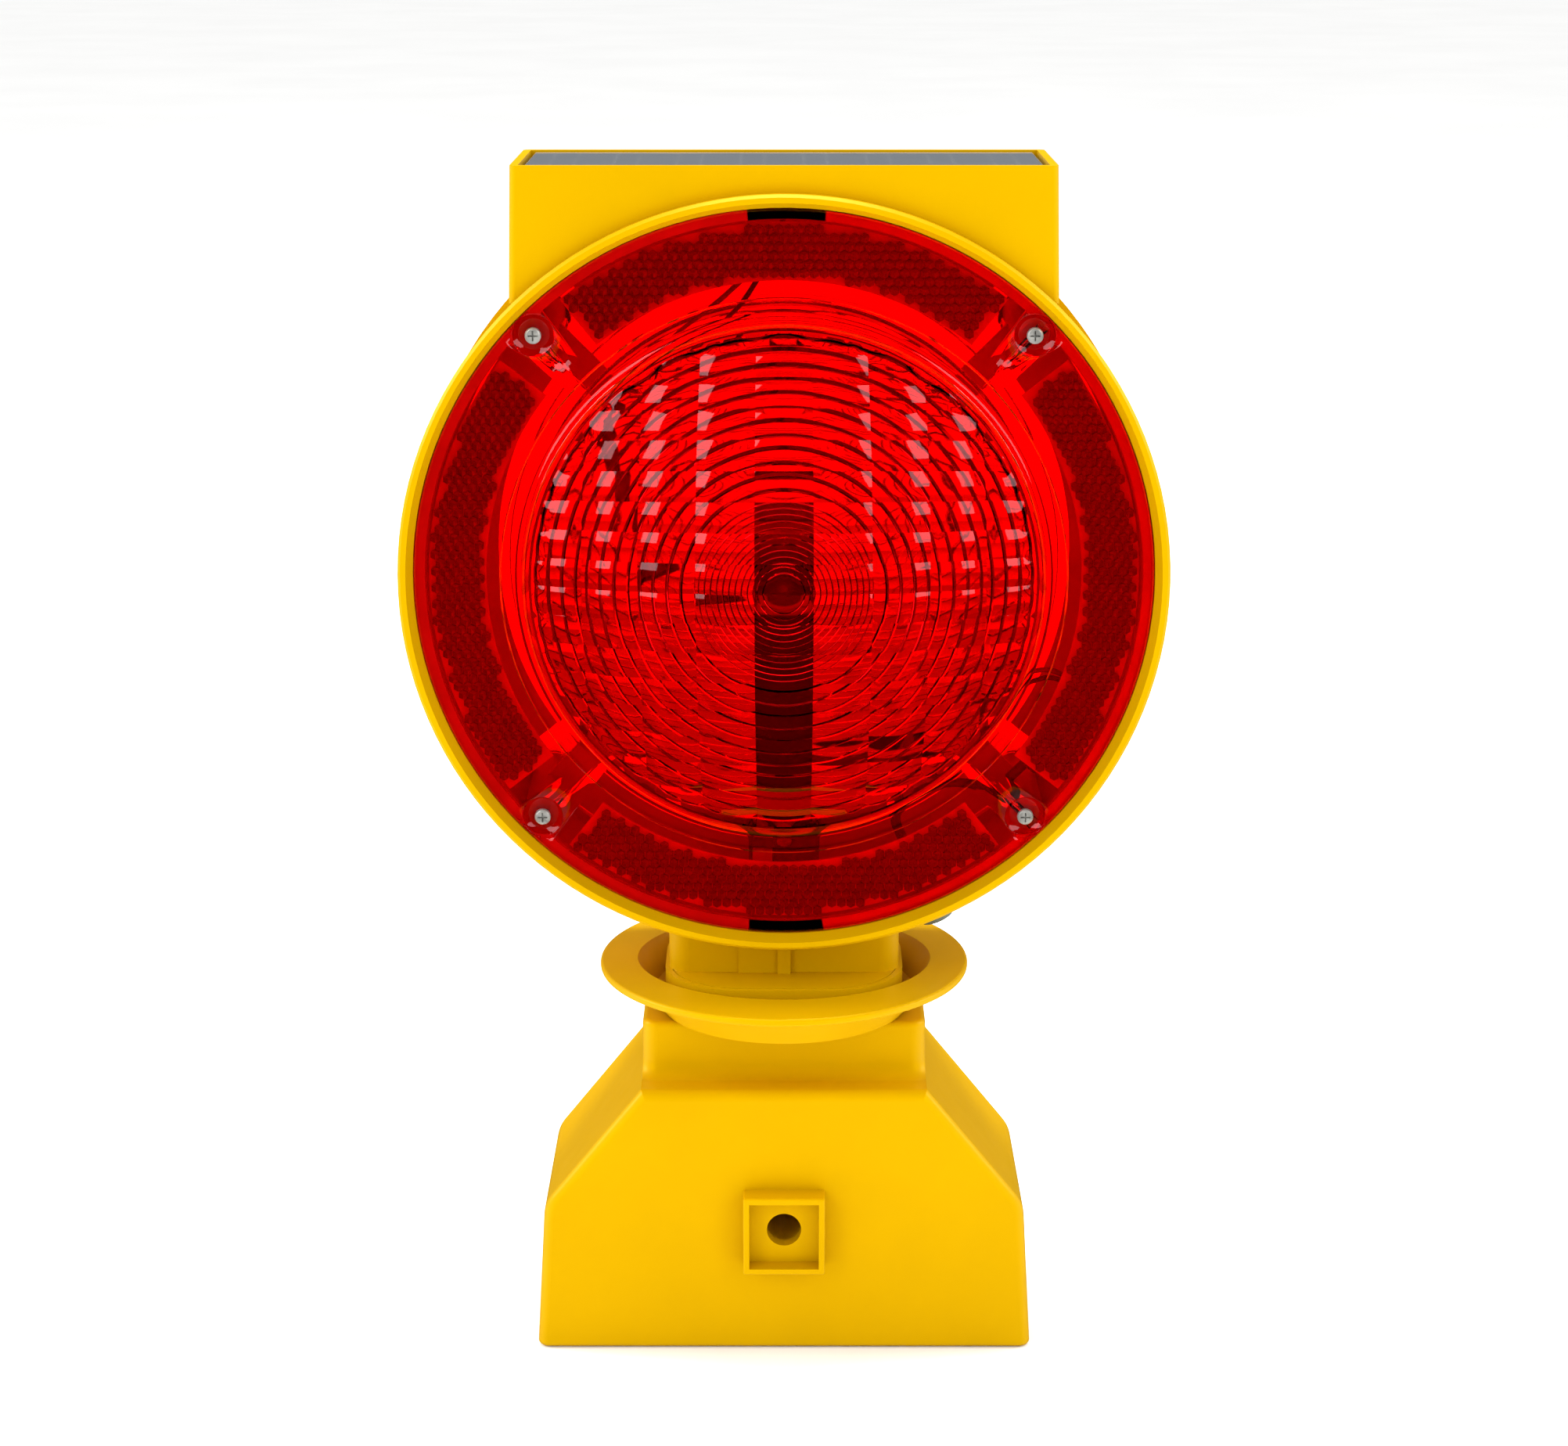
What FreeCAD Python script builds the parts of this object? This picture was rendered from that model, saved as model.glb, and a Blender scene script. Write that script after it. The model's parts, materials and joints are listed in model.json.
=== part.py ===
"""Solar warning lamp that bolts to traffic drums and barricades.

A drum-shaped head holds a red lens on each face, a solar panel on top and the lamp's electronics.
It turns on a hollow trunnion in the neck of a two-shell base, which holds two C-size cells and takes
one through bolt. Millimetres, +Z up, the front faces -Y, origin at the bottom centre of the base.
"""

import FreeCAD, Part
import math
import os

from FreeCAD import Vector

# ---------------------------------------------------------------- base
BASE_DEPTH = 55.0
FOOT_WIDTH = 127.4
SHOULDER_WIDTH = 122.8
SHOULDER_Z = 39.5
SHELF_WIDTH = 72.6
SHELF_Z = 70.7
NECK_DEPTH = 32.0
NECK_HEIGHT = 14.5
BASE_WALL = 2.2
NECK_PLATE = 3.0
SHOULDER_ROUND = 10.0
FRONT_EDGE_ROUND = 2.6
NECK_EDGE_ROUND = 4.0
SHELF_FILLET = 4.0
FOOT_EDGE_ROUND = 1.4

# bolt that fastens the lamp
BOLT_Z = 33.7
BOLT_HOLE_R = 4.4
BOLT_SLEEVE_BORE_R = 5.4
BOLT_SLEEVE_WALL = 2.2
BOSS_SIDE = 20.8
BOSS_WALL = 1.55
BOSS_RISE = 6.2
BOSS_POCKET = 4.8
BOSS_ROUND = 0.5

# screws that close the base
SHELL_SCREW_R = 1.6
SHELL_SCREW_HEAD_R = 3.0
SHELL_SCREW_HEAD_H = 2.4
SHELL_SCREW_SEAT = 2.8
SHELL_SCREW_BITE = 10.0
SHELL_BOSS_R = 5.0
SHELL_BOSS_INSET = 3.6
SCREW_HEAD_GAP = 0.6
SCREW_HOLE_GAP = 0.2

# battery
CELL_R = 13.1
CELL_H = 50.0
CELL_NUB_R = 3.6
CELL_NUB_H = 1.5
CELL_GAP = 0.3
HOLDER_WALL = 1.6
HOLDER_SPACE = 2.0
CONTACT_T = 0.4
CONTACT_SIDE = 12.0
SPRING_H = 4.8
SPRING_TURNS = 4
SPRING_CORNERS = 10
SPRING_WIRE_R = 0.35
SPRING_R = 4.4
HOLDER_BRIDGE_DEPTH = 12.0
HOLDER_RIB = 1.6
GLAND_R = 4.0
GLAND_H = 2.5
CABLE_R = 1.7

# ---------------------------------------------------------------- swivel and collar
SWIVEL_GAP = 0.3
TRUNNION_R = 10.5
TRUNNION_BORE_R = 7.5
TRUNNION_CLEARANCE = 0.08
TRUNNION_FLANGE_R = 13.0
TRUNNION_FLANGE_T = 2.9
STOP_WIDTH = 4.0
STOP_HEIGHT = 2.5
STOP_INNER_R = 9.0
COLLAR_HEIGHT = 12.1
COLLAR_FLOOR = 4.0
COLLAR_FLANGE_R = 47.5
COLLAR_FLANGE_T = 2.0
BOWL_TOP_R = 39.5
BOWL_BOTTOM_R = 32.0
BOWL_WALL = 1.6
POCKET_FRONT_INSET = 5.0
SLEEVE_WALL = 1.5
FOOT_SIZE_X = 57.4
FOOT_SIZE_Y = 49.6
FOOT_CORNER_R = 18.3
FOOT_CLEARANCE = 0.25
FOOT_LEDGE = 2.4
FOOT_WALL = 2.0
COLLAR_SCREW_X = 19.0
COLLAR_SCREW_Y = 13.5
COLLAR_SCREW_R = 1.3
COLLAR_SCREW_HEAD_R = 2.6
COLLAR_SCREW_HEAD_H = 1.9
COLLAR_SCREW_BITE = 6.0
COLLAR_BOSS_R = 3.4

# ---------------------------------------------------------------- head
RIM_RADIUS = 94.0
RIM_BEAD = 1.6
RIM_LIP = 2.0
RIM_DEPTH = 3.5
RIM_ROUND = 0.7
DRUM_WALL = 2.4
BOX_DEPTH = 44.6
BOX_WIDTH = 129.8
BOX_DRAFT = 1.4
BOX_RISE = 6.4
BOX_EDGE_ROUND = 1.6
BOX_FLARE_ROUND = 7.0
STEM_HEIGHT = 12.0
STEM_WIDTH = 58.8
STEM_DEPTH = 25.0
STEM_WALL = 2.4
STEM_ROUND = 5.0
STEM_RIB_WIDTH = 3.3
STEM_RIB_RISE = 1.5
STEM_PANEL_WIDTH = 10.0
STEM_PANEL_RISE = 0.6

# lens, gasket, reflectors
LENS_EDGE_GAP = 0.3
LENS_RECESS = 3.5
LENS_FLANGE_T = 2.4
LENS_INSET = 3.4
DOME_INSET = 21.1
DOME_STEP = 0.8
DOME_CROWN = 15.5
DOME_WALL = 2.6
DOME_STEPS = 16
FRESNEL_PITCH = 2.6
FRESNEL_DEPTH = 0.55
FRESNEL_BAND = 8.0
GASKET_T = 1.2
GASKET_WIDTH = 2.5
SEAT_WIDTH = 2.4
SEAT_T = 2.5
REFLECTOR_INSET = 3.3
REFLECTOR_WIDTH = 14.0
REFLECTOR_T = 2.0
REFLECTOR_GAP_DEG = 6.8
LENS_POST_INSET = 5.3
LENS_POST_R = 5.1
LENS_SCREW_R = 1.1
LENS_SCREW_HEAD_R = 2.0
LENS_SCREW_HEAD_H = 1.3
LENS_SCREW_BITE = 9.0
LENS_COUNTERBORE_R = 5.2
LENS_COUNTERBORE = 1.0
ARM_WIDTH = 7.4
ARM_T = 2.0
ARM_REACH = 20.0

# solar panel
PANEL_LIP = 1.9
PANEL_RECESS = 3.4
PANEL_LEDGE = 2.2
PANEL_BOARD_T = 1.2
PANEL_CELL_T = 0.3
PANEL_COVER_T = 1.5
PANEL_SEAL_WIDTH = 1.0
PANEL_CELLS = 8
PANEL_CELL_GAP = 1.0
PANEL_MARGIN = 1.6

# post, board and LEDs
PAD_RISE = 2.5
PLATE_T = 2.5
PLATE_WIDTH = 26.0
PLATE_DEPTH = 24.0
POST_WIDTH = 10.0
POST_DEPTH = 5.0
POST_SCREW_X = 9.5
POST_SCREW_Y = 6.0
POST_SCREW_R = 1.25
POST_SCREW_HEAD_R = 2.5
POST_SCREW_HEAD_H = 1.8
POST_SCREW_BITE = 7.0
POST_BOSS_R = 3.0
BOARD_T = 1.6
BOARD_WIDTH = 18.0
BOARD_BELOW_LED = 80.0
BOARD_ABOVE_LED = 7.0
BOARD_SCREW_RISE = 8.5
BOARD_SCREW_R = 1.0
BOARD_SCREW_HEAD_R = 1.9
BOARD_SCREW_HEAD_H = 1.2
SHROUD_SIDE = 15.0
SHROUD_DEPTH = 8.0
SHROUD_BORE_R = 6.2
LED_R = 4.0
LED_FLANGE_R = 4.8
LED_BODY_H = 6.0
SENSOR_WIDTH = 13.0
SENSOR_HEIGHT = 16.0
SENSOR_DEPTH = 7.0
SENSOR_WINDOW_R = 3.0
SENSOR_BELOW_LED = 60.0

# switch
SWITCH_ANGLE_DEG = -67.0
SWITCH_PAD_R = 8.0
SWITCH_PAD_RISE = 1.2
SWITCH_PAD_INNER = 1.4
SWITCH_BODY_SIDE = 12.0
SWITCH_BODY_H = 8.4
BUSHING_R = 3.4
BUSHING_BORE_R = 1.65
BUSHING_ABOVE_NUT = 0.8
SWITCH_WASHER_R = 6.4
SWITCH_WASHER_T = 0.8
SWITCH_NUT_FLATS = 11.0
SWITCH_NUT_T = 2.2
PLUNGER_CLEARANCE = 0.05
BUTTON_TRAVEL = 1.5
BUTTON_REST_GAP = 0.4
CAP_R = 5.5
CAP_BORE_R = 4.1
CAP_H = 4.2
CAP_ROUND = 1.8

# leads
CONNECTOR_WIDTH = 5.0
CONNECTOR_HEIGHT = 6.0
CONNECTOR_DEPTH = 4.4
PANEL_CONNECTOR_BELOW_LED = 14.0
SWITCH_CONNECTOR_BELOW_LED = 42.0
BATTERY_CONNECTOR_X = -5.5
LEAD_R = 0.65
SWITCH_CABLE_R = 1.3
SPLICE_R = 3.6
SPLICE_LENGTH = 14.0
GROMMET_WALL = 1.2
GROMMET_LIP = 0.8
GROMMET_LIP_T = 1.2
ARC_SHARE = 0.45
CABLE_JOIN_GAP = 0.05

# ---------------------------------------------------------------- places worked out from the sizes
HALF_BASE = BASE_DEPTH / 2
HALF_NECK = NECK_DEPTH / 2
NECK_TOP_Z = SHELF_Z + NECK_HEIGHT
COLLAR_Z = NECK_TOP_Z + SWIVEL_GAP
COLLAR_TOP_Z = COLLAR_Z + COLLAR_HEIGHT
FOOT_BOTTOM_Z = COLLAR_Z + COLLAR_FLOOR
DRUM_R = RIM_RADIUS - RIM_BEAD
DRUM_BORE_R = DRUM_R - DRUM_WALL
HEAD_Z = COLLAR_TOP_Z + STEM_HEIGHT + DRUM_R
BOX_TOP_Z = HEAD_Z + RIM_RADIUS + BOX_RISE
HALF_BOX = BOX_DEPTH / 2
RIM_Y = HALF_BOX + RIM_DEPTH
LENS_Y = RIM_Y - LENS_RECESS
LENS_BACK_Y = LENS_Y - LENS_FLANGE_T
SEAT_Y = LENS_BACK_Y - GASKET_T
LENS_R = RIM_RADIUS - LENS_INSET - LENS_EDGE_GAP
LENS_POCKET_R = LENS_R + LENS_EDGE_GAP
SEAT_R = DRUM_BORE_R - SEAT_WIDTH
DOME_R = LENS_R - DOME_INSET
DOME_APEX_Y = LENS_Y + DOME_STEP + DOME_CROWN
DOME_SPHERE_R = (DOME_R**2 + DOME_CROWN**2) / (2 * DOME_CROWN)
REFLECTOR_R = LENS_R - REFLECTOR_INSET
LENS_POST_CIRCLE = LENS_R - LENS_POST_INSET
LENS_SCREW_ANGLES = (45, 135, 225, 315)
BOLT_SLEEVE_R = BOLT_SLEEVE_BORE_R + BOLT_SLEEVE_WALL
CELL_X = BOLT_SLEEVE_R + HOLDER_SPACE + HOLDER_WALL + CELL_GAP + CELL_R
HOLDER_HALF = CELL_R + CELL_GAP + HOLDER_WALL
HOLDER_TOP_Z = BASE_WALL + 2 * HOLDER_WALL + 2 * CONTACT_T + SPRING_H + CELL_H
PAD_Z = HEAD_Z - DRUM_BORE_R + PAD_RISE
PLATE_Z = PAD_Z + PLATE_T
LEAD_Y = -(BOARD_T + CONNECTOR_DEPTH) / 2
BOARD_LOW_Z = HEAD_Z - BOARD_BELOW_LED
PANEL_FLOOR_Z = BOX_TOP_Z - PANEL_RECESS
SWITCH_AXIS = Vector(
    math.cos(math.radians(SWITCH_ANGLE_DEG)), 0, math.sin(math.radians(SWITCH_ANGLE_DEG))
)
SWITCH_SEAT = DRUM_R + SWITCH_PAD_RISE
NUT_TOP = SWITCH_SEAT + SWITCH_WASHER_T + SWITCH_NUT_T
CAP_BOTTOM = NUT_TOP + BUTTON_TRAVEL + BUTTON_REST_GAP
FAR = 400.0
HEAD_CENTRE = Vector(0, 0, HEAD_Z)
UP = Vector(0, 0, 1)
BACK = Vector(0, 1, 0)


# ---------------------------------------------------------------- helpers
def box(x0, x1, y0, y1, z0, z1):
    """Block between two corners."""
    return Part.makeBox(x1 - x0, y1 - y0, z1 - z0, Vector(x0, y0, z0))


def rod(radius, start, end):
    """Cylinder from one point to another."""
    span = end - start
    return Part.makeCylinder(radius, span.Length, start, span)


def tube(outer, inner, start, end):
    """Hollow cylinder from one point to another."""
    return rod(outer, start, end).cut(rod(inner, start, end))


def joined(shapes):
    """One solid out of several that meet."""
    whole = shapes[0]
    for shape in shapes[1:]:
        whole = whole.fuse(shape)
    return whole


def front_outline(points, y0, y1):
    """Prism between two depths from an outline of (x, z) points."""
    wire = Part.makePolygon([Vector(x, y0, z) for x, z in points + points[:1]])
    return Part.Face(wire).extrude(Vector(0, y1 - y0, 0))


def rounded_prism(half_x, half_y, corner, z0, z1):
    """Upright block whose four upright edges are rounded."""
    block = box(-half_x, half_x, -half_y, half_y, z0, z1)
    upright = [edge for edge in block.Edges if abs(edge.tangentAt(edge.FirstParameter).z) > 0.9]
    return block.makeFillet(corner, upright)


def turned_about_head(profile):
    """Ring from (radius, depth) points, turned about the head's front-to-back axis."""
    wire = Part.makePolygon([Vector(r, y, HEAD_Z) for r, y in profile + profile[:1]])
    return Part.Face(wire).revolve(HEAD_CENTRE, BACK, 360)


def on_head(radius, angle_deg, y):
    """Point of the head at a radius and an angle from +X, seen from the front."""
    angle = math.radians(angle_deg)
    return Vector(radius * math.cos(angle), y, HEAD_Z + radius * math.sin(angle))


def on_switch(distance):
    """Point of the switch axis, measured from the head's centre."""
    return HEAD_CENTRE + SWITCH_AXIS * distance


def facing_front(shape):
    """A copy of a part of the rear face, turned to the front face."""
    copy = shape.copy()
    copy.rotate(Vector(0, 0, 0), UP, 180)
    return copy


def rounded_edges(shape, radius, chosen):
    """Fillet the edges that a test picks out."""
    return shape.makeFillet(radius, [edge for edge in shape.Edges if chosen(edge)])


def runs_along(edge, axis):
    """True for a straight edge that lies along an axis."""
    if not isinstance(edge.Curve, Part.Line):
        return False
    return abs(edge.tangentAt(edge.FirstParameter).dot(axis)) > 0.99


def cross_recess(centre, out, size, depth):
    """Cross-shaped driver slot that opens along out."""
    width = size * 0.3
    slot = box(-size, size, -width / 2, width / 2, -depth, depth)
    other = box(-width / 2, width / 2, -size, size, -depth, depth)
    recess = slot.fuse(other)
    recess.Placement = FreeCAD.Placement(centre, FreeCAD.Rotation(UP, out))
    return recess


def pan_screw(seat, out, shank_r, length, head_r, head_h):
    """Cross-head screw: its head sits on seat and rises along out."""
    shank = rod(shank_r, seat - out * length, seat)
    head = rod(head_r, seat, seat + out * head_h)
    rim = [edge for edge in head.Edges if (edge.CenterOfMass - seat).dot(out) > head_h * 0.9]
    head = head.makeFillet(head_h * 0.45, rim)
    recess = cross_recess(seat + out * head_h, out, head_r * 0.6, head_h * 0.6)
    return shank.fuse(head).removeSplitter().cut(recess)


def lead(points, radius):
    """Round lead along straight runs joined by tangent arcs."""
    edges = []
    start = points[0]
    for before, corner, after in zip(points, points[1:], points[2:]):
        arrive = (corner - before).normalize()
        leave = (after - corner).normalize()
        half_turn = arrive.getAngle(leave) / 2
        shorter = min((corner - before).Length, (after - corner).Length)
        back_off = ARC_SHARE * shorter
        arc_radius = back_off / math.tan(half_turn)
        bisector = (leave - arrive).normalize()
        middle = corner + bisector * (arc_radius / math.cos(half_turn) - arc_radius)
        arc_start = corner - arrive * back_off
        arc_end = corner + leave * back_off
        edges.append(Part.LineSegment(start, arc_start).toShape())
        edges.append(Part.Arc(arc_start, middle, arc_end).toShape())
        start = arc_end
    edges.append(Part.LineSegment(start, points[-1]).toShape())
    path = Part.Wire(edges)
    first = (points[1] - points[0]).normalize()
    section = Part.Wire([Part.makeCircle(radius, points[0], first)])
    return path.makePipeShell([section], True, False)


def save(name, shape):
    """Write one node."""
    shape.exportStep(os.path.join("parts", name + ".step"))


# ---------------------------------------------------------------- base
def base_outline(inset, top_z, floor_z):
    """Front outline of the lower base, moved inwards by a wall."""
    side_slope = (FOOT_WIDTH - SHOULDER_WIDTH) / 2 / SHOULDER_Z
    rise = SHELF_Z - SHOULDER_Z
    run = (SHOULDER_WIDTH - SHELF_WIDTH) / 2
    slant = math.hypot(rise, run)
    foot_x = FOOT_WIDTH / 2 - inset * math.hypot(1, side_slope)
    slant_x = SHELF_WIDTH / 2 + (run / rise) * SHELF_Z - inset * slant / rise
    shoulder_z = (slant_x - foot_x) / (run / rise - side_slope)
    shoulder_x = foot_x - side_slope * shoulder_z
    top_x = slant_x - (run / rise) * top_z
    right = [(foot_x - side_slope * floor_z, floor_z), (shoulder_x, shoulder_z), (top_x, top_z)]
    left = [(-x, z) for x, z in reversed(right)]
    return right + left


def base_outside():
    """Closed outer form of the base, with its rounded edges."""
    lower = front_outline(base_outline(0, SHELF_Z, 0), -HALF_BASE, HALF_BASE)
    shoulders = [
        edge
        for edge in lower.Edges
        if runs_along(edge, BACK) and abs(edge.CenterOfMass.z - SHOULDER_Z) < 1
    ]
    lower = lower.makeFillet(SHOULDER_ROUND, shoulders)
    lower = rounded_edges(
        lower,
        FRONT_EDGE_ROUND,
        lambda e: abs(abs(e.CenterOfMass.y) - HALF_BASE) < 0.01 and e.CenterOfMass.z > 1,
    )
    lower = rounded_edges(lower, FOOT_EDGE_ROUND, lambda e: e.BoundBox.ZMax < 0.01)
    neck = rounded_neck(SHELF_WIDTH / 2, HALF_NECK)
    return joined([lower, neck] + shelf_fillets())


def rounded_neck(half_x, half_y):
    """Neck block with rounded upright edges, sunk into the lower base."""
    block = box(-half_x, half_x, -half_y, half_y, SHELF_Z - SHOULDER_ROUND, NECK_TOP_Z)
    block = rounded_edges(block, NECK_EDGE_ROUND, lambda e: runs_along(e, UP))
    return rounded_edges(block, FOOT_EDGE_ROUND, lambda e: e.BoundBox.ZMin > NECK_TOP_Z - 0.01)


def shelf_fillets():
    """Hollow fillets where the neck's front and back meet the shelf, carried round its corners."""
    top = SHELF_Z + SHELF_FILLET
    sink = SHELF_FILLET / 4
    corner_x = SHELF_WIDTH / 2 - NECK_EDGE_ROUND
    corner_y = HALF_NECK - NECK_EDGE_ROUND
    bend = SHELF_FILLET * (1 - math.sqrt(0.5))
    high = Vector(-corner_x, HALF_NECK, top)
    middle = Vector(-corner_x, HALF_NECK + bend, SHELF_Z + bend)
    low = Vector(-corner_x, HALF_NECK + SHELF_FILLET, SHELF_Z)
    inmost = Vector(-corner_x, HALF_NECK - sink, SHELF_Z - sink)
    rest = [low, low - UP * sink, inmost, high - BACK * sink, high]
    edges = [Part.Arc(high, middle, low).toShape()]
    edges += [Part.LineSegment(start, end).toShape() for start, end in zip(rest, rest[1:])]
    face = Part.Face(Part.Wire(edges))
    straight = face.extrude(Vector(2 * corner_x, 0, 0))
    turned = face.revolve(Vector(-corner_x, corner_y, 0), UP, 90)
    limit = box(-SHELF_WIDTH / 2, 0, 0, HALF_BASE, SHELF_Z - 2 * sink, top)
    left = turned.common(limit)
    right = left.mirror(Vector(0, 0, 0), Vector(1, 0, 0))
    rear = [straight, left, right]
    return rear + [facing_front(piece) for piece in rear]


def base_inside():
    """Hollow of the base."""
    half_depth = HALF_BASE - BASE_WALL
    ceiling = SHELF_Z - BASE_WALL
    lower = front_outline(base_outline(BASE_WALL, ceiling, BASE_WALL), -half_depth, half_depth)
    half_x = SHELF_WIDTH / 2 - BASE_WALL
    half_y = HALF_NECK - BASE_WALL
    neck = box(-half_x, half_x, -half_y, half_y, ceiling - BASE_WALL, NECK_TOP_Z - NECK_PLATE)
    return lower.fuse(neck).removeSplitter()


def shell_screw_places():
    """(x, z) of the four screws: two low in the corners, two in the neck."""
    low_x = SHOULDER_WIDTH / 2 - SHELL_BOSS_R - SHELL_BOSS_INSET / 2
    low_z = BASE_WALL + SHELL_BOSS_R + SHELL_BOSS_INSET / 2
    high_x = SHELF_WIDTH / 2 - BASE_WALL - SHELL_BOSS_R - SHELL_BOSS_INSET / 2
    high_z = NECK_TOP_Z - NECK_PLATE - SHELL_BOSS_R - SHELL_BOSS_INSET / 3
    return [(low_x, low_z), (-low_x, low_z), (high_x, high_z), (-high_x, high_z)]


def bolt_boss(side):
    """Square socket round the bolt hole on one face, with its inner sleeve."""
    half = BOSS_SIDE / 2
    face = side * HALF_BASE
    inner = side * (HALF_BASE - BASE_WALL / 2)
    outer = side * (HALF_BASE + BOSS_RISE)
    block = box(-half, half, min(inner, outer), max(inner, outer), BOLT_Z - half, BOLT_Z + half)
    block = rounded_edges(block, BOSS_ROUND, lambda e: abs(e.CenterOfMass.y) > abs(face) + 0.1)
    sleeve = rod(BOLT_SLEEVE_R, Vector(0, 0, BOLT_Z), Vector(0, inner, BOLT_Z))
    return block.fuse(sleeve)


def bolt_cuts(side):
    """Square pocket, bolt hole and wider sleeve bore of one face."""
    half = BOSS_SIDE / 2 - BOSS_WALL
    outer = side * (HALF_BASE + BOSS_RISE)
    floor = outer - side * BOSS_POCKET
    past = outer + side
    pocket = box(-half, half, min(floor, past), max(floor, past), BOLT_Z - half, BOLT_Z + half)
    hole = rod(BOLT_HOLE_R, Vector(0, 0, BOLT_Z), Vector(0, past, BOLT_Z))
    sleeve_end = side * (HALF_BASE - BASE_WALL)
    bore = rod(BOLT_SLEEVE_BORE_R, Vector(0, 0, BOLT_Z), Vector(0, sleeve_end, BOLT_Z))
    return [pocket, hole, bore]


def holder_ribs(side):
    """Ribs of one shell that press on the battery holder's side walls."""
    wall = HALF_BASE - BASE_WALL / 2
    rib_x = CELL_X + HOLDER_HALF - HOLDER_WALL / 2
    half = HOLDER_RIB / 2
    low_y, high_y = sorted((side * HOLDER_HALF, side * wall))
    return [
        box(x - half, x + half, low_y, high_y, BASE_WALL / 2, HOLDER_TOP_Z) for x in (-rib_x, rib_x)
    ]


def base_shell(side):
    """One half of the base: side -1 is the front, +1 the back."""
    low_y, high_y = sorted((0, side * FAR))
    half_space = box(-FAR, FAR, low_y, high_y, -FAR, FAR)
    outside = base_outside()
    adds = holder_ribs(side)
    for x, z in shell_screw_places():
        far_y = side * (HALF_NECK if z > SHELF_Z else HALF_BASE) - side * BASE_WALL / 2
        adds.append(rod(SHELL_BOSS_R, Vector(x, 0, z), Vector(x, far_y, z)))
    inner_adds = [add.common(outside) for add in adds]
    if side > 0:
        inner_adds.append(swivel_stop())
    shell = outside.cut(base_inside()).common(half_space)
    shell = joined([shell, bolt_boss(side)] + inner_adds)
    cuts = bolt_cuts(side) + [swivel_bore()]
    cuts += [screw_cut(x, z, side) for x, z in shell_screw_places()]
    for cut in cuts:
        shell = shell.cut(cut)
    return shell.removeSplitter()


def screw_cut(x, z, side):
    """Pilot hole in the front shell, or clearance hole with a head pocket in the rear shell."""
    if side < 0:
        return rod(SHELL_SCREW_R, Vector(x, -SHELL_SCREW_BITE, z), Vector(x, 0, z))
    seat = HALF_NECK - SHELL_SCREW_SEAT
    hole = rod(SHELL_SCREW_R + SCREW_HOLE_GAP, Vector(x, 0, z), Vector(x, seat, z))
    pocket = rod(SHELL_SCREW_HEAD_R + SCREW_HEAD_GAP, Vector(x, seat, z), Vector(x, FAR, z))
    return hole.fuse(pocket)


def swivel_bore():
    """Hole of the neck plate that the trunnion turns in."""
    low = Vector(0, 0, NECK_TOP_Z - NECK_PLATE - 1)
    return rod(TRUNNION_R + TRUNNION_CLEARANCE, low, Vector(0, 0, NECK_TOP_Z + 1))


def swivel_stop():
    """Rib of the rear shell that the trunnion's tooth meets at the end of its turn."""
    flange_z = NECK_TOP_Z - NECK_PLATE - SWIVEL_GAP - TRUNNION_FLANGE_T
    top = flange_z - SWIVEL_GAP
    wall = HALF_NECK - BASE_WALL / 2
    return box(-STOP_WIDTH / 2, STOP_WIDTH / 2, STOP_INNER_R, wall, top - STOP_HEIGHT, top)


def shell_screws():
    """Four long screws that close the base from the back."""
    seat_y = HALF_NECK - SHELL_SCREW_SEAT
    length = seat_y + SHELL_SCREW_BITE
    screws = []
    for x, z in shell_screw_places():
        seat = Vector(x, seat_y, z)
        screws.append(
            pan_screw(seat, BACK, SHELL_SCREW_R, length, SHELL_SCREW_HEAD_R, SHELL_SCREW_HEAD_H)
        )
    return Part.makeCompound(screws)


# ---------------------------------------------------------------- battery
def upright_or_turned(shape, side):
    """The left cell's parts stand upright; the right cell's are turned end for end."""
    placed = shape.copy()
    middle = (BASE_WALL + HOLDER_TOP_Z) / 2
    if side > 0:
        placed.rotate(Vector(0, 0, middle), Vector(1, 0, 0), 180)
    placed.translate(Vector(side * CELL_X, 0, 0))
    return placed


def battery_holder():
    """Two open-fronted troughs joined by a bridge that carries the cable gland."""
    pieces = []
    cavities = []
    for side in (-1, 1):
        x = side * CELL_X
        half = HOLDER_HALF
        pieces.append(box(x - half, x + half, -half, half, BASE_WALL, HOLDER_TOP_Z))
        inner = CELL_R + CELL_GAP
        low = BASE_WALL + HOLDER_WALL
        high = HOLDER_TOP_Z - HOLDER_WALL
        cavities.append(box(x - inner, x + inner, -FAR, inner, low, high))
    reach = CELL_X - HOLDER_HALF
    half_bridge = HOLDER_BRIDGE_DEPTH / 2
    bridge_z = HOLDER_TOP_Z - 2 * HOLDER_WALL
    pieces.append(box(-reach, reach, -half_bridge, half_bridge, bridge_z, HOLDER_TOP_Z))
    top = Vector(0, 0, HOLDER_TOP_Z)
    pieces.append(rod(GLAND_R, top, top + UP * GLAND_H))
    holder = joined(pieces)
    cavities.append(rod(CABLE_R, top, top + UP * GLAND_H))
    for cavity in cavities:
        holder = holder.cut(cavity)
    return holder


def battery_cell():
    """C-size cell with its raised positive end."""
    bottom = BASE_WALL + HOLDER_WALL + CONTACT_T + SPRING_H
    can_top = bottom + CELL_H - CELL_NUB_H
    can = rod(CELL_R, Vector(0, 0, bottom), Vector(0, 0, can_top))
    can = rounded_edges(can, 0.8, lambda e: e.BoundBox.ZLength < 0.01)
    nub = rod(CELL_NUB_R, Vector(0, 0, can_top), Vector(0, 0, can_top + CELL_NUB_H))
    return can.fuse(nub).removeSplitter()


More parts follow.
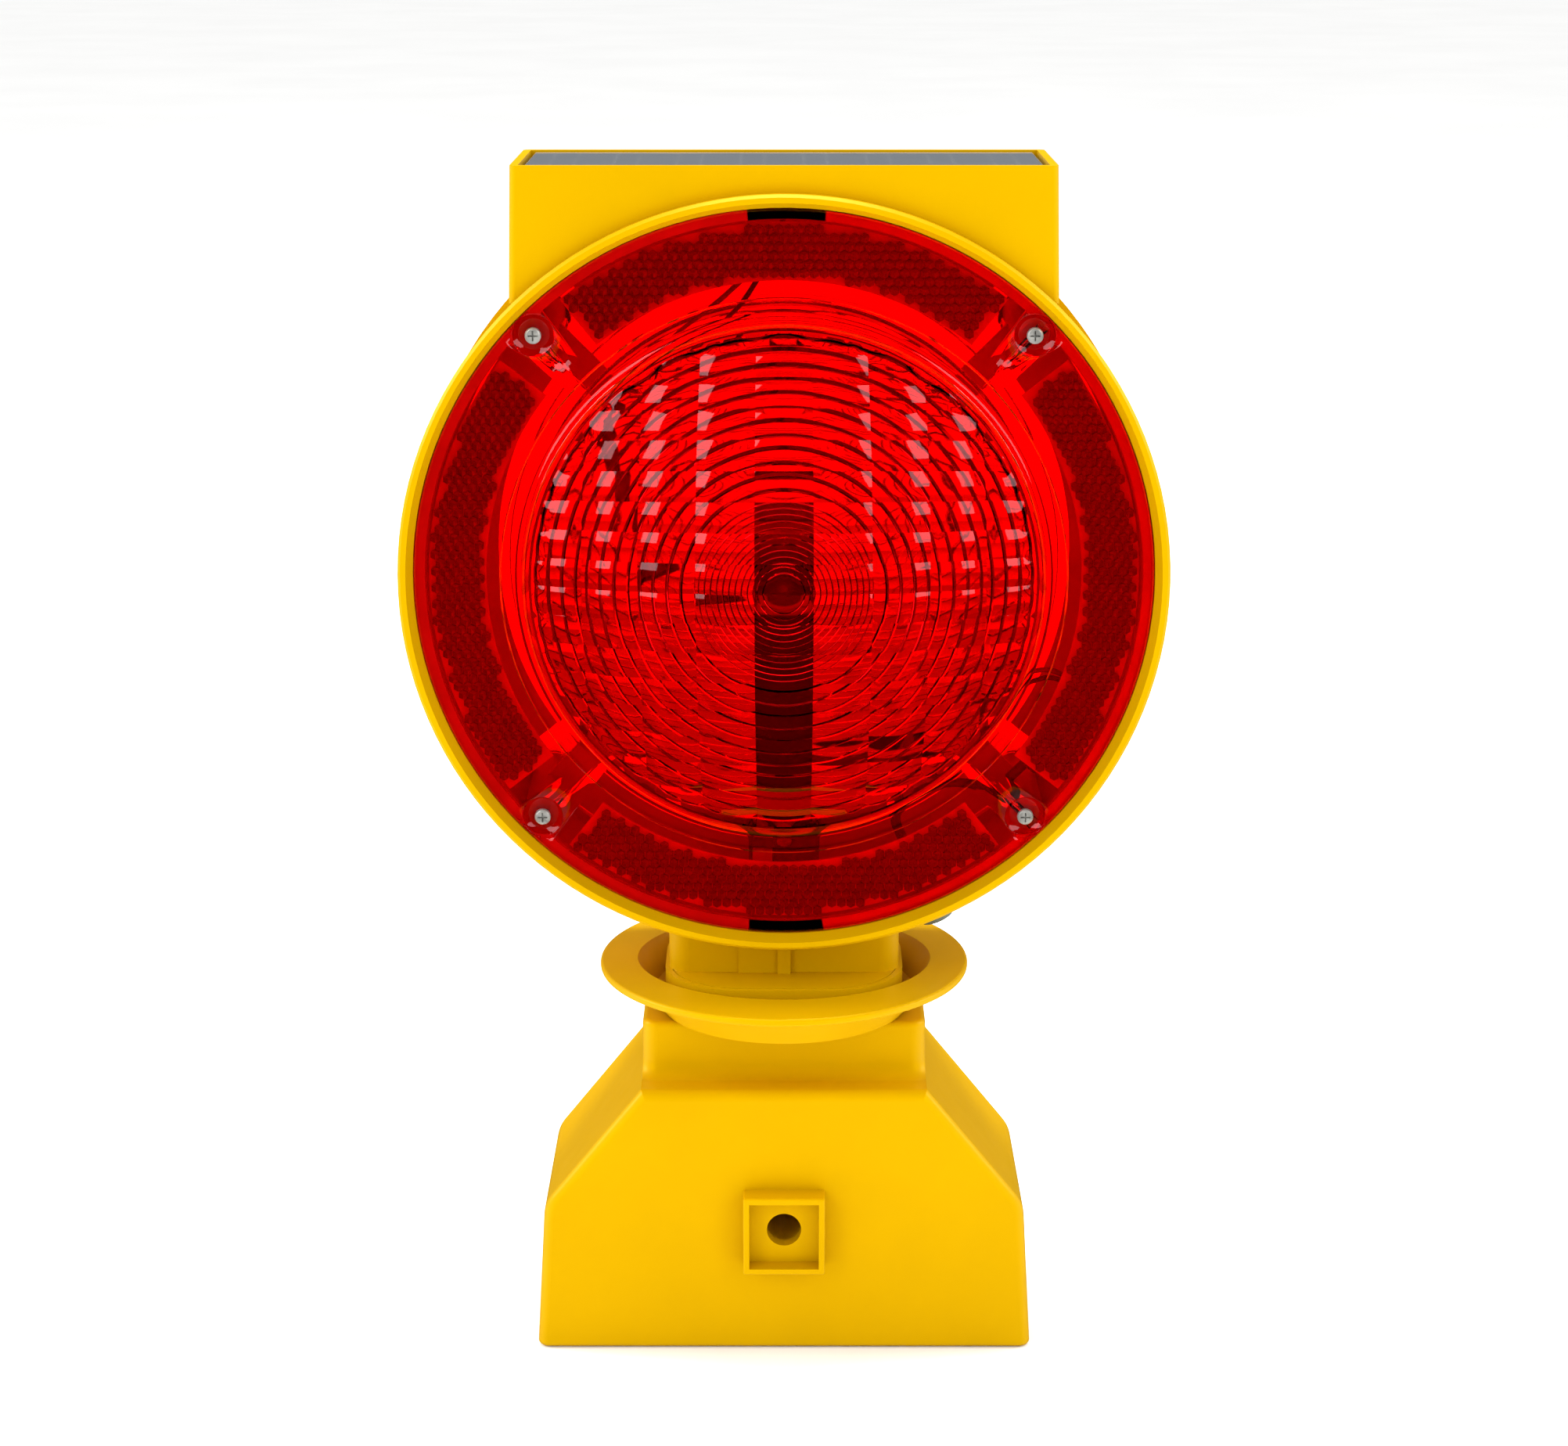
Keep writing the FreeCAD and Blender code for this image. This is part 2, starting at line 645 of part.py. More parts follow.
def battery_spring(side):
    """Coil spring that presses on the cell's flat end: below the left cell, above the right one."""
    height = SPRING_H - 2 * SPRING_WIRE_R
    bottom = BASE_WALL + HOLDER_WALL + CONTACT_T + SPRING_WIRE_R
    if side > 0:
        bottom = HOLDER_TOP_Z - HOLDER_WALL - CONTACT_T - SPRING_WIRE_R - height
    points = []
    for corner in range(SPRING_TURNS * SPRING_CORNERS + 1):
        angle = 2 * math.pi * corner / SPRING_CORNERS
        rise = height * corner / (SPRING_TURNS * SPRING_CORNERS)
        x = side * CELL_X + SPRING_R * math.cos(angle)
        points.append(Vector(x, SPRING_R * math.sin(angle), bottom + rise))
    return lead(points, SPRING_WIRE_R)


def battery_contacts():
    """Plate at each end of each cell."""
    half = CONTACT_SIDE / 2
    low = BASE_WALL + HOLDER_WALL
    high = HOLDER_TOP_Z - HOLDER_WALL
    plates = []
    for x in (-CELL_X, CELL_X):
        plates.append(box(x - half, x + half, -half, half, low, low + CONTACT_T))
        plates.append(box(x - half, x + half, -half, half, high - CONTACT_T, high))
    return Part.makeCompound(plates)


# ---------------------------------------------------------------- collar
def ellipse_wire(half_x, half_y, z):
    """Closed oval at one height."""
    oval = Part.Ellipse(Vector(0, 0, z), half_x, half_y)
    return Part.Wire([oval.toShape()])


def collar_outside():
    """Flange, bowl, trunnion and retaining flange, turned about the swivel axis."""
    flange_bottom = COLLAR_TOP_Z - COLLAR_FLANGE_T
    retain_top = NECK_TOP_Z - NECK_PLATE - SWIVEL_GAP
    retain_bottom = retain_top - TRUNNION_FLANGE_T
    profile = [
        (0, COLLAR_TOP_Z),
        (COLLAR_FLANGE_R, COLLAR_TOP_Z),
        (COLLAR_FLANGE_R, flange_bottom),
        (BOWL_TOP_R, flange_bottom),
        (BOWL_BOTTOM_R, COLLAR_Z),
        (TRUNNION_R, COLLAR_Z),
        (TRUNNION_R, retain_top),
        (TRUNNION_FLANGE_R, retain_top),
        (TRUNNION_FLANGE_R, retain_bottom),
        (0, retain_bottom),
    ]
    wire = Part.makePolygon([Vector(r, 0, z) for r, z in profile + profile[:1]])
    whole = Part.Face(wire).revolve(Vector(0, 0, 0), UP, 360)
    return rounded_edges(
        whole, COLLAR_FLANGE_T * 0.4, lambda e: abs(e.BoundBox.XMax - COLLAR_FLANGE_R) < 0.01
        and e.BoundBox.ZLength < 0.01
    )


def collar_gutter():
    """Oval gutter between the bowl and the sleeve, narrower at its floor."""
    top_x = BOWL_TOP_R - BOWL_WALL
    share = COLLAR_FLOOR / (COLLAR_HEIGHT - COLLAR_FLANGE_T)
    floor_r = BOWL_BOTTOM_R + share * (BOWL_TOP_R - BOWL_BOTTOM_R) - BOWL_WALL
    low = ellipse_wire(floor_r, floor_r - POCKET_FRONT_INSET * 0.6, FOOT_BOTTOM_Z)
    high = ellipse_wire(top_x, top_x - POCKET_FRONT_INSET, COLLAR_TOP_Z)
    gutter = Part.makeLoft([low, high], True, True)
    half_x = FOOT_SIZE_X / 2 + FOOT_CLEARANCE + SLEEVE_WALL
    half_y = FOOT_SIZE_Y / 2 + FOOT_CLEARANCE + SLEEVE_WALL
    corner = FOOT_CORNER_R + FOOT_CLEARANCE + SLEEVE_WALL
    sleeve = rounded_prism(half_x, half_y, corner, FOOT_BOTTOM_Z - 1, COLLAR_TOP_Z + 1)
    return gutter.cut(sleeve)


def neck_collar():
    """Collar that holds the head's foot and turns in the neck plate."""
    collar = collar_outside().cut(collar_gutter())
    half_x = FOOT_SIZE_X / 2 + FOOT_CLEARANCE
    half_y = FOOT_SIZE_Y / 2 + FOOT_CLEARANCE
    corner = FOOT_CORNER_R + FOOT_CLEARANCE
    socket = rounded_prism(half_x, half_y, corner, FOOT_BOTTOM_Z, COLLAR_TOP_Z + 1)
    retain_bottom = NECK_TOP_Z - NECK_PLATE - SWIVEL_GAP - TRUNNION_FLANGE_T
    tooth = box(
        -STOP_WIDTH / 2,
        STOP_WIDTH / 2,
        -TRUNNION_FLANGE_R + 0.4,
        -STOP_INNER_R,
        retain_bottom - STOP_HEIGHT,
        retain_bottom,
    )
    collar = collar.fuse(tooth).removeSplitter()
    cuts = [socket, rod(TRUNNION_BORE_R, Vector(0, 0, 0), Vector(0, 0, FOOT_BOTTOM_Z + 1))]
    for x, y in collar_screw_places():
        seat = COLLAR_Z + COLLAR_SCREW_HEAD_H + SWIVEL_GAP
        hole_r = COLLAR_SCREW_R + SCREW_HOLE_GAP
        head_r = COLLAR_SCREW_HEAD_R + SCREW_HEAD_GAP
        cuts.append(rod(hole_r, Vector(x, y, COLLAR_Z - 1), Vector(x, y, FOOT_BOTTOM_Z + 1)))
        cuts.append(rod(head_r, Vector(x, y, COLLAR_Z - 1), Vector(x, y, seat)))
    for cut in cuts:
        collar = collar.cut(cut)
    return collar


def collar_screw_places():
    """(x, y) of the four screws between collar and foot."""
    return [(x, y) for x in (-COLLAR_SCREW_X, COLLAR_SCREW_X) for y in (-COLLAR_SCREW_Y, COLLAR_SCREW_Y)]


def collar_screws():
    """Four short screws, driven from below."""
    seat_z = COLLAR_Z + COLLAR_SCREW_HEAD_H + SWIVEL_GAP
    length = FOOT_BOTTOM_Z - seat_z + COLLAR_SCREW_BITE
    screws = [
        pan_screw(
            Vector(x, y, seat_z), -UP, COLLAR_SCREW_R, length, COLLAR_SCREW_HEAD_R, COLLAR_SCREW_HEAD_H
        )
        for x, y in collar_screw_places()
    ]
    return Part.makeCompound(screws)


# ---------------------------------------------------------------- head housing
def drum_outside():
    """Solid drum with a bead round each rim."""
    return turned_about_head(
        [
            (0, -RIM_Y),
            (RIM_RADIUS - RIM_ROUND, -RIM_Y),
            (RIM_RADIUS, -RIM_Y + RIM_ROUND),
            (RIM_RADIUS, -HALF_BOX),
            (DRUM_R, -HALF_BOX),
            (DRUM_R, HALF_BOX),
            (RIM_RADIUS, HALF_BOX),
            (RIM_RADIUS, RIM_Y - RIM_ROUND),
            (RIM_RADIUS - RIM_ROUND, RIM_Y),
            (0, RIM_Y),
        ]
    )


def drum_inside():
    """Lens pocket, gasket seat and bore, from face to face."""
    half = [
        (0, RIM_Y + 1),
        (RIM_RADIUS - RIM_LIP, RIM_Y + 1),
        (RIM_RADIUS - RIM_LIP, RIM_Y),
        (LENS_POCKET_R, LENS_Y),
        (LENS_POCKET_R, SEAT_Y),
        (SEAT_R, SEAT_Y),
        (SEAT_R, SEAT_Y - SEAT_T),
        (DRUM_BORE_R, SEAT_Y - SEAT_T),
    ]
    return turned_about_head(half + [(r, -y) for r, y in reversed(half)])


def solar_box_outside():
    """Box on top of the drum, a little wider downwards."""
    low_z = HEAD_Z + RIM_RADIUS / 2
    half = BOX_WIDTH / 2
    outline = [(half + BOX_DRAFT, low_z), (half, BOX_TOP_Z), (-half, BOX_TOP_Z), (-half - BOX_DRAFT, low_z)]
    block = front_outline(outline, -HALF_BOX, HALF_BOX)
    corners = [
        edge
        for edge in block.Edges
        if abs(edge.CenterOfMass.x) > half - 0.1 and abs(edge.CenterOfMass.y) > HALF_BOX - 0.1
    ]
    return block.makeFillet(BOX_EDGE_ROUND, corners)


def solar_box_inside():
    """Panel recess and the hollow under it, down to the drum."""
    half_x = BOX_WIDTH / 2 - PANEL_LIP
    half_y = HALF_BOX - PANEL_LIP
    recess = box(-half_x, half_x, -half_y, half_y, PANEL_FLOOR_Z, BOX_TOP_Z + 1)
    low = HEAD_Z + RIM_RADIUS / 2
    inner_x = half_x - PANEL_LEDGE
    inner_y = half_y - PANEL_LEDGE
    hollow = box(-inner_x, inner_x, -inner_y, inner_y, low, PANEL_FLOOR_Z + 1)
    drum = rod(DRUM_R, on_head(0, 0, -HALF_BOX - 1), on_head(0, 0, HALF_BOX + 1))
    return recess.fuse(hollow.cut(drum))


def box_flare(side):
    """Filler that curves the side of the solar box out into the drum."""
    box_x = BOX_WIDTH / 2 + BOX_DRAFT / 2
    centre_x = box_x + BOX_FLARE_ROUND
    reach = DRUM_R + BOX_FLARE_ROUND
    centre_z = math.sqrt(reach**2 - centre_x**2)
    share = DRUM_R / reach
    drum_point = Vector(centre_x * share, -HALF_BOX, centre_z * share)
    box_point = Vector(box_x, -HALF_BOX, centre_z)
    centre = Vector(centre_x, -HALF_BOX, centre_z)
    toward = ((drum_point + box_point) * 0.5 - centre).normalize()
    middle = centre + toward * BOX_FLARE_ROUND
    inner = Vector(box_x - DRUM_WALL, -HALF_BOX, centre_z * share)
    top = Vector(box_x - DRUM_WALL, -HALF_BOX, centre_z)
    edges = [
        Part.Arc(box_point, middle, drum_point).toShape(),
        Part.LineSegment(drum_point, inner).toShape(),
        Part.LineSegment(inner, top).toShape(),
        Part.LineSegment(top, box_point).toShape(),
    ]
    flare = Part.Face(Part.Wire(edges)).extrude(Vector(0, 2 * HALF_BOX, 0))
    if side < 0:
        flare.rotate(Vector(0, 0, 0), UP, 180)
    flare.translate(Vector(0, 0, HEAD_Z))
    return flare


def stem_and_foot():
    """Stem below the drum, with its front rib and panel, and the foot that plugs into the collar."""
    half_y = STEM_DEPTH / 2
    top = HEAD_Z - DRUM_R + STEM_WIDTH / 4
    stem = rounded_prism(STEM_WIDTH / 2, half_y, STEM_ROUND, COLLAR_TOP_Z, top)
    half_rib = STEM_RIB_WIDTH / 2
    rib_y = half_y + STEM_RIB_RISE
    rib = box(-half_rib, half_rib, -rib_y, rib_y, COLLAR_TOP_Z, top)
    panel_y = half_y + STEM_PANEL_RISE
    panel_left = -half_rib - STEM_PANEL_WIDTH
    panel = box(panel_left, -half_rib, -panel_y, 0, COLLAR_TOP_Z, top)
    foot = rounded_prism(FOOT_SIZE_X / 2, FOOT_SIZE_Y / 2, FOOT_CORNER_R, FOOT_BOTTOM_Z, COLLAR_TOP_Z)
    return [stem, rib, panel, foot]


def stem_hollow():
    """Hollow of the foot and stem, under the drum's wall."""
    half_x = FOOT_SIZE_X / 2 - FOOT_WALL
    half_y = FOOT_SIZE_Y / 2 - FOOT_WALL
    corner = FOOT_CORNER_R - FOOT_WALL
    foot = rounded_prism(half_x, half_y, corner, FOOT_BOTTOM_Z - 1, COLLAR_TOP_Z - FOOT_LEDGE)
    stem_x = STEM_WIDTH / 2 - STEM_WALL
    stem_y = STEM_DEPTH / 2 - STEM_WALL
    stem = box(-stem_x, stem_x, -stem_y, stem_y, FOOT_BOTTOM_Z, HEAD_Z - DRUM_BORE_R)
    drum = rod(DRUM_R, on_head(0, 0, -HALF_BOX), on_head(0, 0, HALF_BOX))
    return foot.fuse(stem.cut(drum))


def lens_posts():
    """Screw posts between the two lenses, each with an arm towards the middle."""
    pieces = []
    for angle in LENS_SCREW_ANGLES:
        pieces.append(
            rod(
                LENS_POST_R,
                on_head(LENS_POST_CIRCLE, angle, -LENS_BACK_Y),
                on_head(LENS_POST_CIRCLE, angle, LENS_BACK_Y),
            )
        )
        tip = LENS_POST_CIRCLE - ARM_REACH
        arm = box(tip, LENS_POST_CIRCLE, -ARM_T / 2, ARM_T / 2, -ARM_WIDTH / 2, ARM_WIDTH / 2)
        arm.rotate(Vector(0, 0, 0), BACK, -angle)
        arm.translate(HEAD_CENTRE)
        pieces.append(arm)
    return pieces


def post_pad():
    """Flat pad in the bottom of the drum, with two screw bosses below it."""
    half_x = PLATE_WIDTH / 2
    half_y = PLATE_DEPTH / 2
    bottom = HEAD_Z - DRUM_R + DRUM_WALL / 2
    pieces = [box(-half_x, half_x, -half_y, half_y, bottom, PAD_Z)]
    for x in (-POST_SCREW_X, POST_SCREW_X):
        low = Vector(x, POST_SCREW_Y, PAD_Z - POST_SCREW_BITE - 1.5)
        pieces.append(rod(POST_BOSS_R, low, Vector(x, POST_SCREW_Y, PAD_Z)))
    return pieces


def switch_pad():
    """Flat-ended boss through the drum's wall for the switch."""
    return rod(SWITCH_PAD_R, on_switch(DRUM_BORE_R - SWITCH_PAD_INNER), on_switch(SWITCH_SEAT))


def collar_bosses():
    """Screw bosses inside the foot."""
    return [
        rod(COLLAR_BOSS_R, Vector(x, y, FOOT_BOTTOM_Z), Vector(x, y, COLLAR_TOP_Z - FOOT_LEDGE / 2))
        for x, y in collar_screw_places()
    ]


def housing_holes():
    """Pilot holes, lead holes and the switch hole."""
    holes = []
    for angle in LENS_SCREW_ANGLES:
        for side in (-1, 1):
            mouth = on_head(LENS_POST_CIRCLE, angle, side * (LENS_BACK_Y + 1))
            bottom = on_head(LENS_POST_CIRCLE, angle, side * (LENS_BACK_Y - LENS_SCREW_BITE))
            holes.append(rod(LENS_SCREW_R, bottom, mouth))
    for x in (-POST_SCREW_X, POST_SCREW_X):
        low = Vector(x, POST_SCREW_Y, PAD_Z - POST_SCREW_BITE)
        holes.append(rod(POST_SCREW_R, low, Vector(x, POST_SCREW_Y, PAD_Z + 1)))
    for x, y in collar_screw_places():
        low = Vector(x, y, FOOT_BOTTOM_Z - 1)
        holes.append(rod(COLLAR_SCREW_R, low, Vector(x, y, FOOT_BOTTOM_Z + COLLAR_SCREW_BITE)))
    holes.append(rod(BUSHING_R, on_switch(DRUM_BORE_R - SWITCH_PAD_R), on_switch(SWITCH_SEAT + 1)))
    cable_hole = CABLE_R + GROMMET_WALL
    low = cable_point(HEAD_Z - DRUM_R - 1)
    holes.append(rod(cable_hole, low, cable_point(PAD_Z + 1)))
    lead_hole = 2 * LEAD_R + GROMMET_WALL
    low = Vector(0, 0, HEAD_Z + DRUM_BORE_R - 2)
    holes.append(rod(lead_hole, low, Vector(0, 0, HEAD_Z + DRUM_R + 1)))
    return holes


def cable_point(z):
    """Point on the upright line where the battery cable enters the drum."""
    return Vector(BATTERY_CONNECTOR_X, LEAD_Y, z)


def head_housing():
    """Drum, solar box, stem and foot as one moulding."""
    body = joined([drum_outside(), solar_box_outside(), box_flare(1), box_flare(-1)] + stem_and_foot())
    body = body.cut(drum_inside()).cut(solar_box_inside()).cut(stem_hollow())
    limits = rod(DRUM_R - DRUM_WALL / 2, on_head(0, 0, -RIM_Y), on_head(0, 0, RIM_Y))
    inner = [piece.common(limits) for piece in lens_posts()]
    body = joined([body] + inner + post_pad() + [switch_pad()] + collar_bosses())
    for hole in housing_holes():
        body = body.cut(hole)
    return body


# ---------------------------------------------------------------- lens set
def dome_depth(radius, wall):
    """Depth of the dome's outer face, or of the face one wall behind it, at a radius."""
    sphere_r = DOME_SPHERE_R - wall
    return DOME_APEX_Y - DOME_SPHERE_R + math.sqrt(sphere_r**2 - radius**2)


def lens():
    """Rear lens: flat flange and a domed shell with stepped prism rings inside."""
    ring_count = int((DOME_R - FRESNEL_BAND) / FRESNEL_PITCH)
    sphere_r = DOME_SPHERE_R - DOME_WALL
    mouth_r = math.sqrt(sphere_r**2 - (LENS_BACK_Y - DOME_APEX_Y + DOME_SPHERE_R) ** 2)
    radii = [DOME_R * step / DOME_STEPS for step in range(DOME_STEPS + 1)]
    profile = [(r, dome_depth(r, 0)) for r in radii]
    profile += [(DOME_R, LENS_Y), (LENS_R, LENS_Y), (LENS_R, LENS_BACK_Y), (mouth_r, LENS_BACK_Y)]
    for ring in range(ring_count, 0, -1):
        r = ring * FRESNEL_PITCH
        low = dome_depth(r, DOME_WALL)
        profile.append((r, low))
        profile.append((r - 0.05, low + FRESNEL_DEPTH))
    profile.append((0, dome_depth(0, DOME_WALL)))
    whole = turned_about_head(profile)
    for angle in LENS_SCREW_ANGLES:
        floor = LENS_Y - LENS_COUNTERBORE
        through = on_head(LENS_POST_CIRCLE, angle, LENS_BACK_Y - 1)
        face = on_head(LENS_POST_CIRCLE, angle, LENS_Y)
        whole = whole.cut(rod(LENS_SCREW_R + SCREW_HOLE_GAP, through, face))
        low = on_head(LENS_POST_CIRCLE, angle, floor)
        whole = whole.cut(rod(LENS_COUNTERBORE_R, low, on_head(LENS_POST_CIRCLE, angle, LENS_Y + 1)))
    return whole


def lens_gasket():
    """Flat ring under the lens, notched round the posts."""
    inner = LENS_R - GASKET_WIDTH
    profile = [(inner, SEAT_Y), (LENS_R, SEAT_Y), (LENS_R, LENS_BACK_Y), (inner, LENS_BACK_Y)]
    ring = turned_about_head(profile)
    for angle in LENS_SCREW_ANGLES:
        low = on_head(LENS_POST_CIRCLE, angle, SEAT_Y - 1)
        ring = ring.cut(rod(LENS_POST_R + 0.1, low, on_head(LENS_POST_CIRCLE, angle, LENS_BACK_Y + 1)))
    return ring


def lens_screws():
    """Four small cross-head screws of one lens."""
    seat_y = LENS_Y - LENS_COUNTERBORE
    length = seat_y - LENS_BACK_Y + LENS_SCREW_BITE
    screws = []
    for angle in LENS_SCREW_ANGLES:
        seat = on_head(LENS_POST_CIRCLE, angle, seat_y)
        screws.append(pan_screw(seat, BACK, LENS_SCREW_R, length, LENS_SCREW_HEAD_R, LENS_SCREW_HEAD_H))
    return Part.makeCompound(screws)


def reflectors():
    """Four curved prism blocks between the screws, behind the lens flange."""
    inner = REFLECTOR_R - REFLECTOR_WIDTH
    low_y = LENS_BACK_Y - REFLECTOR_T
    profile = [(inner, low_y), (REFLECTOR_R, low_y), (REFLECTOR_R, LENS_BACK_Y), (inner, LENS_BACK_Y)]
    wire = Part.makePolygon([Vector(r, y, HEAD_Z) for r, y in profile + profile[:1]])
    span = 90 - 2 * REFLECTOR_GAP_DEG
    block = Part.Face(wire).revolve(HEAD_CENTRE, BACK, -span)
    blocks = []
    for angle in LENS_SCREW_ANGLES:
        copy = block.copy()
        copy.rotate(HEAD_CENTRE, BACK, -(angle + REFLECTOR_GAP_DEG))
        blocks.append(copy)
    return Part.makeCompound(blocks)


# ---------------------------------------------------------------- solar panel
def panel_half_sizes():
    """Half width and half depth of the panel inside its seal."""
    half_x = BOX_WIDTH / 2 - PANEL_LIP - PANEL_SEAL_WIDTH
    half_y = HALF_BOX - PANEL_LIP - PANEL_SEAL_WIDTH
    return half_x, half_y


def solar_panel_board():
    """Backing board of the panel."""
    half_x, half_y = panel_half_sizes()
    board = box(-half_x, half_x, -half_y, half_y, PANEL_FLOOR_Z, PANEL_FLOOR_Z + PANEL_BOARD_T)
    return board.cut(rod(2 * LEAD_R, Vector(0, 0, 0), Vector(0, 0, PANEL_FLOOR_Z + PANEL_BOARD_T / 2)))


def solar_cell_boxes():
    """Bounds of each cell strip, side by side."""
    half_x, half_y = panel_half_sizes()
    pitch = (2 * half_x - 2 * PANEL_MARGIN + PANEL_CELL_GAP) / PANEL_CELLS
    low = -half_x + PANEL_MARGIN
    reach = half_y - PANEL_MARGIN
    return [(low + i * pitch, low + (i + 1) * pitch - PANEL_CELL_GAP, reach) for i in range(PANEL_CELLS)]


def solar_cells():
    """Row of dark cell strips on the board."""
    z = PANEL_FLOOR_Z + PANEL_BOARD_T
    strips = [box(x0, x1, -y, y, z, z + PANEL_CELL_T) for x0, x1, y in solar_cell_boxes()]
    return Part.makeCompound(strips)


def solar_panel_cover():
    """Clear cover poured over the cells."""
    half_x, half_y = panel_half_sizes()
    z = PANEL_FLOOR_Z + PANEL_BOARD_T
    cover = box(-half_x, half_x, -half_y, half_y, z, z + PANEL_CELL_T + PANEL_COVER_T)
    cover = rounded_edges(cover, 0.6, lambda e: e.BoundBox.ZMin > z + PANEL_COVER_T)
    for strip in solar_cells().Solids:
        cover = cover.cut(strip)
    return cover


def panel_seal():
    """Bead of sealant between the panel and the lip."""
    half_x, half_y = panel_half_sizes()
    wide_x = half_x + PANEL_SEAL_WIDTH
    wide_y = half_y + PANEL_SEAL_WIDTH
    top = PANEL_FLOOR_Z + PANEL_BOARD_T + PANEL_CELL_T
    ring = box(-wide_x, wide_x, -wide_y, wide_y, PANEL_FLOOR_Z, top)
    return ring.cut(box(-half_x, half_x, -half_y, half_y, PANEL_FLOOR_Z, top))


# ---------------------------------------------------------------- post, board and LEDs
def led_post():
    """Foot plate and upright that carry the board."""
    half_x = PLATE_WIDTH / 2
    half_y = PLATE_DEPTH / 2
    plate = box(-half_x, half_x, -half_y, half_y, PAD_Z, PLATE_Z)
    plate = rounded_edges(plate, 2.0, lambda e: runs_along(e, UP))
    back = BOARD_T / 2
    top = HEAD_Z - SHROUD_SIDE / 2
    upright = box(-POST_WIDTH / 2, POST_WIDTH / 2, back, back + POST_DEPTH, PAD_Z, top)
    post = plate.fuse(upright).removeSplitter()
    for x in (-POST_SCREW_X, POST_SCREW_X):
        hole_r = POST_SCREW_R + SCREW_HOLE_GAP
        post = post.cut(rod(hole_r, Vector(x, POST_SCREW_Y, 0), Vector(x, POST_SCREW_Y, PLATE_Z + 1)))
    post = post.cut(rod(CABLE_R + GROMMET_WALL, cable_point(0), cable_point(PLATE_Z + 1)))
    for z in board_screw_heights():
        post = post.cut(rod(BOARD_SCREW_R, Vector(0, 0, z), Vector(0, back + POST_DEPTH - 0.8, z)))
    return post


def board_screw_heights():
    """Heights of the two screws that hold the board on the post."""
    return (BOARD_LOW_Z + BOARD_SCREW_RISE, HEAD_Z - SHROUD_SIDE / 2 - BOARD_SCREW_RISE / 2)


def post_screws():
    """Two screws through the foot plate."""
    screws = [
        pan_screw(
            Vector(x, POST_SCREW_Y, PLATE_Z),
            UP,
            POST_SCREW_R,
            PLATE_T + POST_SCREW_BITE,
            POST_SCREW_HEAD_R,
            POST_SCREW_HEAD_H,
        )
        for x in (-POST_SCREW_X, POST_SCREW_X)
    ]
    return Part.makeCompound(screws)


def control_board():
    """Circuit board, upright in the middle plane of the drum."""
    half = BOARD_WIDTH / 2
    high = HEAD_Z + BOARD_ABOVE_LED
    board = box(-half, half, -BOARD_T / 2, BOARD_T / 2, BOARD_LOW_Z, high)
    board = rounded_edges(board, 1.0, lambda e: runs_along(e, BACK))
    for z in board_screw_heights():
        board = board.cut(rod(BOARD_SCREW_R + 0.1, Vector(0, -5, z), Vector(0, 5, z)))
    return board


def board_screws():
    """Two screws that hold the board."""
    seat_y = -BOARD_T / 2
    length = BOARD_T + POST_DEPTH - 1.0
    screws = [
        pan_screw(
            Vector(0, seat_y, z), -BACK, BOARD_SCREW_R, length, BOARD_SCREW_HEAD_R, BOARD_SCREW_HEAD_H
        )
        for z in board_screw_heights()
    ]
    return Part.makeCompound(screws)


def board_chips():
    """Square-bodied components on the front of the board."""
    face = -BOARD_T / 2
    sizes = [(-1.5, -24.0, 7.0, 9.0, 1.8), (3.5, -35.0, 5.0, 4.0, 1.5), (-4.5, -36.0, 3.0, 6.0, 1.2)]
    chips = []
    for x, below, width, height, rise in sizes:
        z = HEAD_Z + below
        chips.append(box(x - width / 2, x + width / 2, face - rise, face, z - height / 2, z + height / 2))
    return Part.makeCompound(chips)


def board_capacitors():
    """Round components that stand on the front of the board."""
    face = -BOARD_T / 2
    places = [(5.5, -22.0, 2.6, 7.0), (5.5, -29.0, 2.0, 5.0)]
    cans = []
    for x, below, radius, height in places:
        low = Vector(x, face, HEAD_Z + below)
        can = rod(radius, low, low - BACK * height)
        cans.append(rounded_edges(can, 0.4, lambda e: e.BoundBox.YMax < face - height + 0.01))
    return Part.makeCompound(cans)


def led_shroud():
    """Square black tube round the rear LED."""
    half = SHROUD_SIDE / 2
    face = BOARD_T / 2
    block = box(-half, half, face, face + SHROUD_DEPTH, HEAD_Z - half, HEAD_Z + half)
    block = rounded_edges(block, 1.2, lambda e: runs_along(e, BACK))
    bore = Part.makeCone(
        LED_FLANGE_R + 0.3, SHROUD_BORE_R, SHROUD_DEPTH, Vector(0, face, HEAD_Z), BACK
    )
    return block.cut(bore)


def led():
    """Domed rear LED on the board."""
    face = BOARD_T / 2
    base = Vector(0, face, HEAD_Z)
    flange = rod(LED_FLANGE_R, base, base + BACK * 1.0)
    body = rod(LED_R, base, base + BACK * (LED_BODY_H - LED_R * 0.6))
    dome = Part.makeSphere(LED_R, base + BACK * (LED_BODY_H - LED_R))
    keep = rod(LED_R, base, base + BACK * LED_BODY_H)
    return joined([flange, body, dome.common(keep)])


def light_sensor_cap():
    """White housing of the light sensor on the front of the board."""
    half = SENSOR_WIDTH / 2
    face = -BOARD_T / 2
    middle = HEAD_Z - SENSOR_BELOW_LED
    cap = box(-half, half, face - SENSOR_DEPTH, face, middle - SENSOR_HEIGHT / 2, middle + SENSOR_HEIGHT / 2)
    cap = rounded_edges(cap, 4.0, lambda e: runs_along(e, BACK))
    cap = rounded_edges(cap, 1.5, lambda e: e.BoundBox.YMax < face - SENSOR_DEPTH + 0.01)
    centre = Vector(0, face - SENSOR_DEPTH + 2.0, middle)
    return cap.cut(rod(SENSOR_WINDOW_R, centre, centre - BACK * 5))


